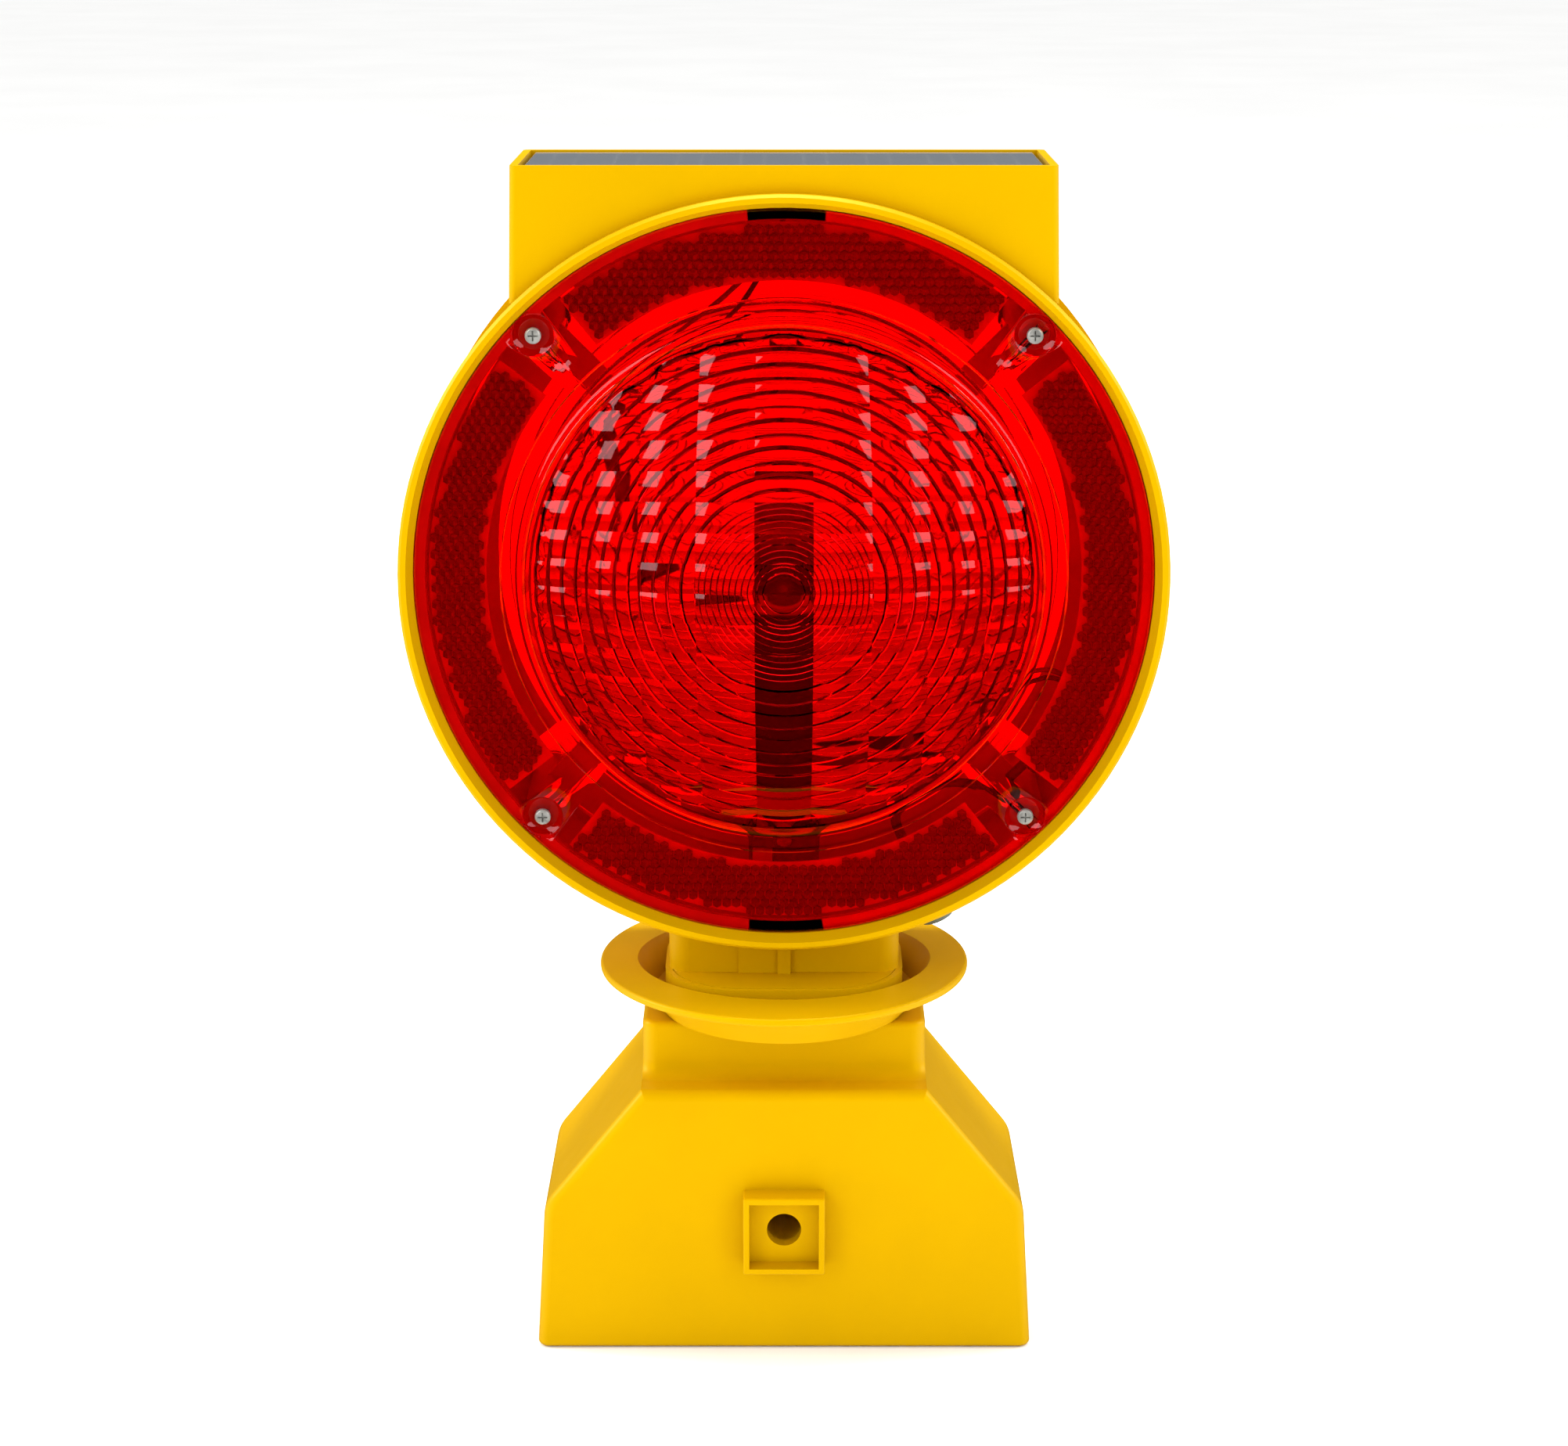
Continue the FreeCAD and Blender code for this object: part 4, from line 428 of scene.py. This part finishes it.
# Each row: slot, material, two colours, two roughnesses, grain size and depth, blotch size, in mm.
PLAIN_FINISHES = (
    # Moulded seal: dull near-black with a fine grain.
    ("black_rubber_seal", "EPDM_moulded_black", ("#17181A", "#202224"), (0.6, 0.8), 0.8, 0.02, 12.0),
    # Moulded boot: soft grey-green, dull, slightly mottled.
    ("switch_rubber", "silicone_moulded_grey_green", ("#6F7768", "#5F675A"), (0.45, 0.62), 0.7, 0.02, 6.0),
    # Moulded nylon: black with a soft sheen.
    ("black_plastic", "nylon_moulded_black", ("#121214", "#1C1D20"), (0.35, 0.5), 0.8, 0.012, 12.0),
    # Moulded nylon: warm white with a soft sheen.
    ("white_plastic", "nylon_moulded_white", ("#F2EFEA", "#E2DED6"), (0.3, 0.45), 0.9, 0.01, 12.0),
    # Moulded package: dull charcoal with a gritty face.
    ("chip_epoxy", "epoxy_moulded_black", ("#1A1B1E", "#26272A"), (0.5, 0.7), 0.5, 0.02, 2.0),
    # Shrunk film: glossy green with shallow ripples.
    ("cell_sleeve", "PVC_shrunk_green", ("#1F6B46", "#18573A"), (0.2, 0.35), 3.0, 0.03, 12.0),
    # Sawn glass fibre: dull dark grey, faintly woven.
    ("panel_board", "glass_fibre_board_grey", ("#2A2D33", "#353941"), (0.5, 0.7), 1.0, 0.02, 12.0),
    # Extruded insulation: dark red with a waxy sheen.
    ("red_wire", "PVC_extruded_red", ("#8E0A0C", "#7A0709"), (0.35, 0.5), 1.5, 0.02, 6.0),
    # Extruded insulation: black with a waxy sheen.
    ("black_wire", "PVC_extruded_black", ("#131315", "#1D1D20"), (0.35, 0.5), 1.5, 0.02, 6.0),
    # Shrunk tube: black with soft wrinkles.
    ("shrink_sleeve", "polyolefin_shrunk_black", ("#0F0F10", "#1A1A1C"), (0.45, 0.6), 2.0, 0.05, 4.0),
)
# Each row: slot, material, two colours, two roughnesses, stretch of the tool marks.
METAL_FINISHES = (
    # Zinc over steel: pale silver with marks along the shank.
    ("steel_screw", "steel_zinc_plated", ("#D4D3CC", "#A5A49E"), (0.2, 0.42), (1, 1, 6)),
    # Nickel over steel: warm silver, smooth and bright.
    ("nickel_contact", "steel_nickel_plated", ("#CFCBC0", "#B5B0A4"), (0.15, 0.3), (1, 1, 1)),
    # Drawn can: bluish silver with marks up its side.
    ("capacitor_can", "aluminium_drawn", ("#C9CCD0", "#B0B4B9"), (0.25, 0.4), (1, 6, 1)),
)


def other_finishes():
    """The small pieces' finishes, by the record's slot names."""
    made = {row[0]: plain_finish(*row[1:]) for row in PLAIN_FINISHES}
    made.update({row[0]: plated_steel(*row[1:]) for row in METAL_FINISHES})
    return made


FINISHES = {}


def finish_of(slot):
    """The Blender material of one of the record's slots, made once."""
    if not FINISHES:
        FINISHES.update(other_finishes())
        FINISHES["yellow_housing"] = yellow_moulding()
        FINISHES["red_lens"] = red_lens_plastic()
        FINISHES["red_reflector"] = reflector_plastic()
        FINISHES["panel_cover"] = resin_with_painted_reflection()
        FINISHES["sensor_window"] = clear_window()
        FINISHES["solar_cell"] = silicon()
        FINISHES["circuit_board"] = solder_mask()
        FINISHES["led_epoxy"] = led_resin()
    return FINISHES[slot]


# ---------------------------------------------------------------- pieces
def slot_of(node):
    """The record's slot of a CAD node."""
    return next(s["material_slot"] for s in frame["record"]["subparts"] if s["node"] == node)


def dress(*nodes):
    """Gives CAD nodes the finish of their slot."""
    for name in nodes:
        piece = frame["nodes"][name]
        piece.data.materials.clear()
        piece.data.materials.append(finish_of(slot_of(name)))


def piece_from(name, mesh, body, slot, replaced=()):
    """A new piece in the scene, with its finish, its body and the nodes it stands for."""
    piece = bpy.data.objects.new(name, mesh)
    bpy.context.scene.collection.objects.link(piece)
    piece.data.materials.append(finish_of(slot))
    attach(piece, body)
    if replaced:
        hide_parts(*replaced)
    return piece


def mesh_of(name, bm, smooth=True):
    """Closes a bmesh into a mesh."""
    bmesh.ops.recalc_face_normals(bm, faces=bm.faces)
    for face in bm.faces:
        face.smooth = smooth
    mesh = bpy.data.meshes.new(name)
    bm.to_mesh(mesh)
    bm.free()
    return mesh


def to_side(bm, side):
    """Places a mesh made for the rear face: local X, Z about the head's centre and Y outwards."""
    bmesh.ops.transform(bm, matrix=Matrix.Translation((0, 0, HEAD_Z)), verts=bm.verts)
    if side == "front":
        bmesh.ops.transform(bm, matrix=HALF_TURN, verts=bm.verts)


def bridge(bm, ring, after):
    """Joins two closed rings of points with faces."""
    for i in range(len(ring)):
        j = (i + 1) % len(ring)
        bm.faces.new((ring[i], ring[j], after[j], after[i]))


def turned_loops(bm, profile, steps):
    """Rings of (radius, depth) points about the Y axis, joined by faces. Returns the rings."""
    rings = []
    for radius, depth in profile:
        angles = [TURN * i / steps for i in range(steps)]
        rings.append([bm.verts.new((radius * math.cos(a), depth, radius * math.sin(a))) for a in angles])
    for ring, after in zip(rings, rings[1:]):
        bridge(bm, ring, after)
    return rings


# ---------------------------------------------------------------- lens
LENS_STEPS = 256


def lens_levels():
    """Depths of the flange's face, the dome's foot and its apex."""
    flange = LENS_BACK + 2.4 * MM
    return flange, flange + 0.8 * MM, REAR_LENS[1].y


def dome_sphere():
    """Radius of the dome's sphere and the depth of its centre."""
    _, foot, apex = lens_levels()
    rise = apex - foot
    radius = (DOME_R**2 + rise**2) / (2 * rise)
    return radius, apex - radius


def dome_depth(radius, wall=0.0):
    """Depth of the dome's outer face, or of the face one wall behind it, at a radius."""
    sphere_r, centre = dome_sphere()
    return centre + math.sqrt((sphere_r - wall) ** 2 - radius**2)


def pillow_field(bm):
    """Pillows laid out by angle over the dome. Returns the field's boundary edges."""
    s = sizes()
    sphere_r, centre = dome_sphere()
    across, up = 8, 6
    turn_x, turn_z = s.pillow_width / sphere_r, s.pillow_height / sphere_r
    limit = s.pillow_reach - 0.7 * MM
    count_x = int(1.2 * across * limit / s.pillow_width) + 1
    count_z = int(1.2 * up * limit / s.pillow_height) + 1
    grid = {}
    for i in range(-count_x, count_x + 1):
        for j in range(-count_z, count_z + 1):
            aim = Vector((math.tan(i * turn_x / across), 1, math.tan(j * turn_z / up))).normalized()
            if sphere_r * math.hypot(aim.x, aim.z) > limit:
                continue
            u = 2 * ((i + across // 2) % across) / across - 1
            v = 2 * (j % up) / up - 1
            sag = s.pillow_sag_across * u * u + s.pillow_sag_up * v * v
            grid[i, j] = bm.verts.new(Vector((0, centre, 0)) + aim * (sphere_r - sag))
    for (i, j), corner in grid.items():
        others = [grid.get(key) for key in ((i + 1, j), (i + 1, j + 1), (i, j + 1))]
        if all(others):
            bm.faces.new([corner] + others)
    for (i, j), corner in grid.items():
        if (i + across // 2) % across == 0 and (i, j + 1) in grid:
            mark_sharp(bm, corner, grid[i, j + 1])
        if j % up == 0 and (i + 1, j) in grid:
            mark_sharp(bm, corner, grid[i + 1, j])
    bmesh.ops.delete(bm, geom=[v for v in bm.verts if not v.link_faces], context="VERTS")
    return [e for e in bm.edges if e.is_boundary]


def mark_sharp(bm, a, b):
    """Marks the edge between two points as a crease."""
    edge = bm.edges.get((a, b))
    if edge:
        edge.smooth = False


def ring_profile():
    """Inner face from the dome's mouth to the middle, with prism rings."""
    s = sizes()
    wall = s.dome_wall
    sphere_r, centre = dome_sphere()
    mouth = math.sqrt((sphere_r - wall) ** 2 - (LENS_BACK - centre) ** 2)
    change = 24 * MM
    radius = s.pillow_reach - 1 * MM
    profile = [(mouth, LENS_BACK), (radius + 4 * MM, dome_depth(radius + 4 * MM, wall))]
    while radius > 4 * MM:
        pitch = s.ring_pitch_outer if radius > change else s.ring_pitch_inner
        lip = 0.12 * pitch
        low = dome_depth(radius, wall)
        step = s.ring_slope * pitch * radius / s.pillow_reach
        profile.append((radius + lip, low))
        profile.append((radius, low + step + 2 * lip))
        profile.append((radius - lip, low + step))
        radius -= pitch
    profile.append((radius, dome_depth(radius, wall)))
    profile.append((radius * 0.6, dome_depth(radius, wall) + 0.15 * MM))
    profile.append((radius * 0.2, dome_depth(radius, wall) + 0.25 * MM))
    return profile


def lens_mesh(side):
    """One lens as a closed shell: pillows outside, prism rings inside, flat flange round the dome."""
    s = sizes()
    bm = bmesh.new()
    inner_loop = pillow_field(bm)
    flange, foot, _ = lens_levels()
    start = s.pillow_reach + 0.4 * MM
    profile = [(start, dome_depth(start) - 0.2 * MM), (start + 0.5 * MM, dome_depth(start + 0.5 * MM))]
    skirt, band = start + 0.5 * MM, DOME_R - 3.5 * MM
    fall = dome_depth(skirt) - foot
    for share in (0.15, 0.3, 0.45, 0.6, 0.8, 1.0):
        profile.append((skirt + (band - skirt) * share, foot + fall * (1 - share) ** 2))
    profile += [(DOME_R - 0.3 * MM, foot), (DOME_R, foot - 0.3 * MM), (DOME_R, flange + 0.2 * MM)]
    profile += [(DOME_R + 0.25 * MM, flange), (LENS_R - 0.4 * MM, flange), (LENS_R, flange - 0.4 * MM)]
    profile += [(LENS_R, LENS_BACK)]
    rings = turned_loops(bm, profile + ring_profile(), LENS_STEPS)
    first, last = rings[0], rings[-1]
    loop = [bm.edges.get((first[i], first[(i + 1) % LENS_STEPS])) for i in range(LENS_STEPS)]
    bmesh.ops.triangle_fill(bm, edges=inner_loop + loop, use_beauty=True)
    bm.faces.new(last)
    for edge in bm.edges:
        if len(edge.link_faces) == 2 and edge.calc_face_angle(0) > math.radians(24):
            edge.smooth = False
    to_side(bm, side)
    return mesh_of(side + "_lens_moulding", bm)


def screw_seat_cutter(side):
    """Four counterbores with their holes, as one mesh for cutting the lens."""
    bm = bmesh.new()
    circle = LENS_R - SCREW_INSET
    flange = lens_levels()[0]
    for angle in (45, 135, 225, 315):
        centre = Vector((circle * math.cos(math.radians(angle)), 0, circle * math.sin(math.radians(angle))))
        profile = [(1.3, LENS_BACK - MM), (1.3, flange - MM), (5.0, flange - MM), (5.2, flange - 0.8 * MM)]
        profile += [(5.2, flange + MM)]
        steps = 40
        rings = []
        for radius, depth in profile:
            ring = []
            for i in range(steps):
                a = TURN * i / steps
                spot = centre + Vector((radius * MM * math.cos(a), depth, radius * MM * math.sin(a)))
                ring.append(bm.verts.new(spot))
            rings.append(ring)
        for ring, after in zip(rings, rings[1:]):
            bridge(bm, ring, after)
        bm.faces.new(rings[0])
        bm.faces.new(rings[-1])
    to_side(bm, side)
    return mesh_of(side + "_seat_cutter", bm)


def cut_with(piece, cutter_mesh):
    """Cuts one mesh out of a piece and keeps the result as its mesh."""
    cutter = bpy.data.objects.new("cutter", cutter_mesh)
    bpy.context.scene.collection.objects.link(cutter)
    cut = piece.modifiers.new("seats", "BOOLEAN")
    cut.operation = "DIFFERENCE"
    cut.solver = "EXACT"
    cut.object = cutter
    graph = bpy.context.evaluated_depsgraph_get()
    result = bpy.data.meshes.new_from_object(piece.evaluated_get(graph))
    if len(result.vertices) < 1000:
        raise RuntimeError("the lens lost its mesh when its screw seats were cut")
    piece.modifiers.remove(cut)
    piece.data = result
    bpy.data.objects.remove(cutter)


class LAMP_OT_lenses(bpy.types.Operator):
    """Builds both lenses with their pillows, prism rings and screw seats"""

    bl_idname = "lamp.lenses"
    bl_label = "Lenses"

    def execute(self, context):
        for side in SIDES:
            shell = lens_mesh(side)
            piece = piece_from(side + "_lens_moulding", shell, "head", "red_lens", [side + "_lens"])
            cut_with(piece, screw_seat_cutter(side))
        return {"FINISHED"}


# ---------------------------------------------------------------- reflectors
def hexagon_cell(bm, x, z, radius, low, high):
    """One prism: a hexagonal cup whose middle is sunk, with its rim towards the lens."""
    rim, foot = [], []
    for i in range(6):
        a = math.radians(60 * i + 30)
        corner = (x + radius * math.cos(a), z + radius * math.sin(a))
        lift = high if i % 2 else high - 0.2 * MM
        rim.append(bm.verts.new((corner[0], lift, corner[1])))
        foot.append(bm.verts.new((corner[0], low, corner[1])))
    middle = bm.verts.new((x, high - 0.5 * MM, z))
    for i in range(6):
        j = (i + 1) % 6
        bm.faces.new((rim[i], rim[j], middle))
        bm.faces.new((rim[j], rim[i], foot[i], foot[j]))
    bm.faces.new(list(reversed(foot)))


def reflector_mesh(side):
    """Field of hexagonal prisms in four curved blocks between the screws."""
    bm = bmesh.new()
    pitch = sizes().prism_pitch
    row = pitch * math.sqrt(3) / 2
    high = REFLECTOR[1].y - 0.05 * MM
    low = REFLECTOR[0].y
    outer = REFLECTOR_R - pitch * 0.45
    inner = REFLECTOR_R - REFLECTOR_WIDTH + pitch * 0.45
    count = int(REFLECTOR_R / row) + 1
    for j in range(-count, count + 1):
        for i in range(-count, count + 1):
            x = (i + (j % 2) / 2) * pitch
            z = j * row
            radius = math.hypot(x, z)
            angle = math.degrees(math.atan2(z, x)) % 90
            off_screw = abs(angle - 45) < SCREW_HALF_GAP_DEG + 1.0
            if inner <= radius <= outer and not off_screw:
                hexagon_cell(bm, x, z, pitch * 0.52, low, high)
    to_side(bm, side)
    return mesh_of(side + "_reflector_prisms", bm, smooth=False)


def carrier_mesh(side):
    """White ring behind the prisms, open at the screws, that keeps the flange bright."""
    bm = bmesh.new()
    inner, outer = REFLECTOR_R - REFLECTOR_WIDTH, REFLECTOR_R
    low, high = REFLECTOR[0].y - 0.6 * MM, REFLECTOR[0].y - 0.05 * MM
    steps = 40
    for quarter in range(4):
        start = math.radians(90 * quarter + 45 + SCREW_HALF_GAP_DEG)
        sweep = math.radians(90 - 2 * SCREW_HALF_GAP_DEG)
        rings = []
        for i in range(steps + 1):
            a = start + sweep * i / steps
            corners = [(inner, low), (outer, low), (outer, high), (inner, high)]
            rings.append([bm.verts.new((r * math.cos(a), y, r * math.sin(a))) for r, y in corners])
        for ring, after in zip(rings, rings[1:]):
            bridge(bm, ring, after)
        bm.faces.new(rings[0])
        bm.faces.new(rings[-1])
    to_side(bm, side)
    return mesh_of(side + "_reflector_carrier", bm, smooth=False)


class LAMP_OT_reflectors(bpy.types.Operator):
    """Builds the hexagonal prisms behind each lens"""

    bl_idname = "lamp.reflectors"
    bl_label = "Reflectors"

    def execute(self, context):
        for side in SIDES:
            prisms = reflector_mesh(side)
            piece_from(side + "_reflector_prisms", prisms, "head", "red_reflector", [side + "_reflectors"])
            piece_from(side + "_reflector_carrier", carrier_mesh(side), "head", "white_plastic")
        return {"FINISHED"}


# ---------------------------------------------------------------- housings
class LAMP_OT_housings(bpy.types.Operator):
    """Finishes the yellow mouldings of head, neck and base"""

    bl_idname = "lamp.housings"
    bl_label = "Housings"

    def execute(self, context):
        dress("head_housing", "neck_collar", "base_front_shell", "base_rear_shell")
        return {"FINISHED"}


# ---------------------------------------------------------------- solar panel
def strip(bm, low, high):
    """Block between two corners with its edges left sharp."""
    corners = [bm.verts.new(spot) for spot in itertools.product(*zip(low, high))]
    for face in ((0, 1, 3, 2), (4, 6, 7, 5), (0, 4, 5, 1), (2, 3, 7, 6), (0, 2, 6, 4), (1, 5, 7, 3)):
        bm.faces.new([corners[i] for i in face])


def busbar_mesh():
    """Two silver strips along each cell and the ribbons that join the cells."""
    bm = bmesh.new()
    count = 8
    gap = 1.0 * MM
    low, high = CELLS
    pitch = (high.x - low.x + gap) / count
    half = sizes().busbar_width / 2
    top = high.z
    for cell in range(count):
        left = low.x + cell * pitch
        for share in (0.3, 0.7):
            x = left + (pitch - gap) * share
            strip(bm, (x - half, low.y + MM, top - 0.02 * MM), (x + half, high.y - MM, top + 0.12 * MM))
        if cell < count - 1:
            y = (high.y - 2.2 * MM) * (1 if cell % 2 else -1)
            x0 = left + (pitch - gap) * 0.3
            x1 = left + pitch + (pitch - gap) * 0.7
            strip(bm, (x0, y - half, top + 0.1 * MM), (x1, y + half, top + 0.2 * MM))
    bmesh.ops.bevel(bm, geom=bm.edges[:], offset=0.03 * MM, segments=1, affect="EDGES")
    return mesh_of("solar_busbars", bm, smooth=False)


class LAMP_OT_solar_panel(bpy.types.Operator):
    """Finishes the solar panel and lays its silver busbars"""

    bl_idname = "lamp.solar_panel"
    bl_label = "Solar panel"

    def execute(self, context):
        dress("solar_panel_board", "solar_cells", "solar_panel_cover")
        piece_from("solar_busbars", busbar_mesh(), "head", "nickel_contact")
        return {"FINISHED"}


# ---------------------------------------------------------------- electronics
class LAMP_OT_electronics(bpy.types.Operator):
    """Finishes the post, the board and what is soldered to it"""

    bl_idname = "lamp.electronics"
    bl_label = "Electronics"

    def execute(self, context):
        dress("led_post", "control_board", "board_chips", "board_capacitors", "lead_connectors")
        dress("light_sensor_cap", "light_sensor_window", "front_led", "rear_led")
        dress("front_led_shroud", "rear_led_shroud", "switch_body", "switch_plunger")
        piece_from("board_solder_joints", solder_mesh(), "head", "nickel_contact")
        return {"FINISHED"}


def solder_mesh():
    """Small solder fillets along the chips' sides on the board."""
    bm = bmesh.new()
    low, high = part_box("board_chips")
    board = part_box("control_board")[0].y
    for x in (low.x - 0.2 * MM, high.x + 0.2 * MM):
        count = 9
        for i in range(count):
            z = low.z + (high.z - low.z) * (i + 0.5) / count
            made = bmesh.ops.create_uvsphere(bm, u_segments=10, v_segments=6, radius=0.45 * MM)["verts"]
            bmesh.ops.scale(bm, vec=(1.0, 0.6, 0.7), verts=made)
            bmesh.ops.translate(bm, vec=(x, board - 0.1 * MM, z), verts=made)
    return mesh_of("board_solder_joints", bm)


# ---------------------------------------------------------------- battery and leads
class LAMP_OT_battery(bpy.types.Operator):
    """Finishes the cells, their holder and contacts"""

    bl_idname = "lamp.battery"
    bl_label = "Battery"

    def execute(self, context):
        dress("battery_holder", "battery_cell_left", "battery_cell_right")
        dress("battery_springs", "battery_contacts")
        return {"FINISHED"}


class LAMP_OT_leads(bpy.types.Operator):
    """Finishes the leads and the sleeve between them"""

    bl_idname = "lamp.leads"
    bl_label = "Leads"

    def execute(self, context):
        dress("panel_lead_red", "panel_lead_black", "switch_cable", "switch_lead_upper", "switch_lead_lower")
        dress("splice_sleeve", "battery_cable_lower", "battery_cable_upper")
        return {"FINISHED"}


# ---------------------------------------------------------------- fasteners and seals
class LAMP_OT_fasteners(bpy.types.Operator):
    """Finishes the screws and the switch nut"""

    bl_idname = "lamp.fasteners"
    bl_label = "Fasteners"

    def execute(self, context):
        dress("shell_screws", "collar_screws", "front_lens_screws", "rear_lens_screws")
        dress("post_screws", "board_screws", "switch_nut")
        return {"FINISHED"}


class LAMP_OT_seals(bpy.types.Operator):
    """Finishes the gaskets, the grommets and the panel's sealant"""

    bl_idname = "lamp.seals"
    bl_label = "Seals"

    def execute(self, context):
        dress("front_lens_gasket", "rear_lens_gasket", "panel_seal", "lead_grommets", "switch_washer")
        pale = plain_finish("silicone_moulded_white", ("#EFEDE8", "#E0DDD6"), (0.5, 0.65), 0.8, 0.015)
        for side in SIDES:
            frame["nodes"][side + "_lens_gasket"].data.materials[0] = pale
        return {"FINISHED"}


# ---------------------------------------------------------------- switch boot
def boot_mesh():
    """Rubber boot turned about the switch axis: a skirt, two soft ribs and a domed top."""
    low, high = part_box("switch_cap")
    centre = (low + high) / 2
    profile = [(4.1, -2.1), (5.3, -2.1), (5.5, -1.8), (5.5, -1.2), (5.05, -0.9), (5.05, -0.6), (5.35, -0.3)]
    profile += [(5.35, 0.1), (4.95, 0.4), (4.9, 0.7), (4.7, 1.2), (4.2, 1.65), (3.4, 1.95), (2.4, 2.05)]
    profile += [(1.9, 1.95), (1.2, 1.85), (0.4, 1.83)]
    steps = 64
    bm = bmesh.new()
    turn = Vector((0, 0, 1)).rotation_difference(CAP_AXIS).to_matrix().to_4x4()
    place = Matrix.Translation(centre) @ turn
    rings = []
    for radius, rise in profile + [(0.4, -0.6), (4.1, -0.6)]:
        ring = []
        for i in range(steps):
            a = TURN * i / steps
            spot = Vector((radius * math.cos(a), radius * math.sin(a), rise)) * MM
            ring.append(bm.verts.new(place @ spot))
        rings.append(ring)
    for ring, after in zip(rings, rings[1:] + rings[:1]):
        bridge(bm, ring, after)
    return mesh_of("switch_boot", bm)


class LAMP_OT_switch_boot(bpy.types.Operator):
    """Builds the ribbed rubber boot of the switch"""

    bl_idname = "lamp.switch_boot"
    bl_label = "Switch boot"

    def execute(self, context):
        piece_from("switch_boot", boot_mesh(), "button", "switch_rubber", ["switch_cap"])
        return {"FINISHED"}


# ---------------------------------------------------------------- stage
def floor_paint():
    """Matt painted board with a faint roller texture."""
    material, tree, shader, coordinates = new_material("paint_rolled_pale", {"IOR": 1.45})
    code = colours().floor
    varied_colour(tree, shader, coordinates, (code, darker(code, 0.99)), 300.0)
    varied_roughness(tree, shader, coordinates, 0.75, 0.9, 60.0)
    grained(tree, shader, coordinates, 3.0, 0.02)
    return material


def softbox(name, place, aim, size, power):
    """Square soft light that faces a point."""
    light = bpy.data.lights.new(name, "AREA")
    light.shape = "RECTANGLE"
    light.size, light.size_y = size
    light.energy = power
    lamp = bpy.data.objects.new(name, light)
    lamp.location = place
    lamp.rotation_euler = (Vector(aim) - Vector(place)).to_track_quat("-Z", "Y").to_euler()
    bpy.context.scene.collection.objects.link(lamp)


class LAMP_OT_stage(bpy.types.Operator):
    """Builds the floor, the soft lights, the white surround and the camera"""

    bl_idname = "lamp.stage"
    bl_label = "Stage"

    def execute(self, context):
        scene = context.scene
        bm = bmesh.new()
        bmesh.ops.create_grid(bm, x_segments=1, y_segments=1, size=14)
        floor = bpy.data.objects.new("floor", mesh_of("floor", bm))
        scene.collection.objects.link(floor)
        floor.location.z = -0.2 * MM
        floor.data.materials.append(floor_paint())
        floor.visible_glossy = False

        world = bpy.data.worlds.new("white_surround")
        world.use_nodes = True
        world.node_tree.nodes["Background"].inputs["Color"].default_value = (1, 1, 1, 1)
        world.node_tree.nodes["Background"].inputs["Strength"].default_value = SURROUND_STRENGTH
        # The room before the lamp is dark, so smooth surfaces mirror only the soft lights.
        world.cycles_visibility.glossy = False
        scene.world = world
        target = (0, 0, HEAD_Z - 0.02)
        for name, place, size, power in SOFTBOXES:
            softbox(name, place, target, size, power)

        camera = bpy.data.cameras.new("camera")
        camera.sensor_width = 36.0
        camera.lens = CAMERA_LENS_MM
        camera.shift_y = CAMERA_SHIFT
        camera.clip_start = 0.05
        viewer = bpy.data.objects.new("camera", camera)
        viewer.location = CAMERA_PLACE
        viewer.rotation_euler = (math.pi / 2 - CAMERA_DOWN, 0, 0)
        scene.collection.objects.link(viewer)
        scene.camera = viewer
        scene.view_settings.view_transform = "Standard"
        return {"FINISHED"}


# ---------------------------------------------------------------- panel and registration
STEPS = ("stage", "housings", "lenses", "reflectors", "solar_panel", "electronics", "battery", "leads")
STEPS += ("fasteners", "seals", "switch_boot")


class LAMP_PT_tools(bpy.types.Panel):
    """Lists the lamp's pieces and its sizes and colours"""

    bl_idname = "LAMP_PT_tools"
    bl_label = "Solar warning lamp"
    bl_space_type = "VIEW_3D"
    bl_region_type = "UI"
    bl_category = "Lamp"

    def draw(self, context):
        for step in STEPS:
            self.layout.operator("lamp." + step)
        for group in (context.scene.lamp_sizes, context.scene.lamp_colours):
            for name in group.bl_rna.properties.keys():
                if name not in ("rna_type", "name"):
                    self.layout.prop(group, name)


CLASSES = (
    LampSizes,
    LampColours,
    LAMP_OT_stage,
    LAMP_OT_housings,
    LAMP_OT_lenses,
    LAMP_OT_reflectors,
    LAMP_OT_solar_panel,
    LAMP_OT_electronics,
    LAMP_OT_battery,
    LAMP_OT_leads,
    LAMP_OT_fasteners,
    LAMP_OT_seals,
    LAMP_OT_switch_boot,
    LAMP_PT_tools,
)


def register():
    for cls in CLASSES:
        bpy.utils.register_class(cls)
    bpy.types.Scene.lamp_sizes = bpy.props.PointerProperty(type=LampSizes)
    bpy.types.Scene.lamp_colours = bpy.props.PointerProperty(type=LampColours)


def unregister():
    del bpy.types.Scene.lamp_colours
    del bpy.types.Scene.lamp_sizes
    for cls in reversed(CLASSES):
        bpy.utils.unregister_class(cls)


def main():
    register()
    for step in STEPS:
        getattr(bpy.ops.lamp, step)()


if __name__ == "__main__":
    main()
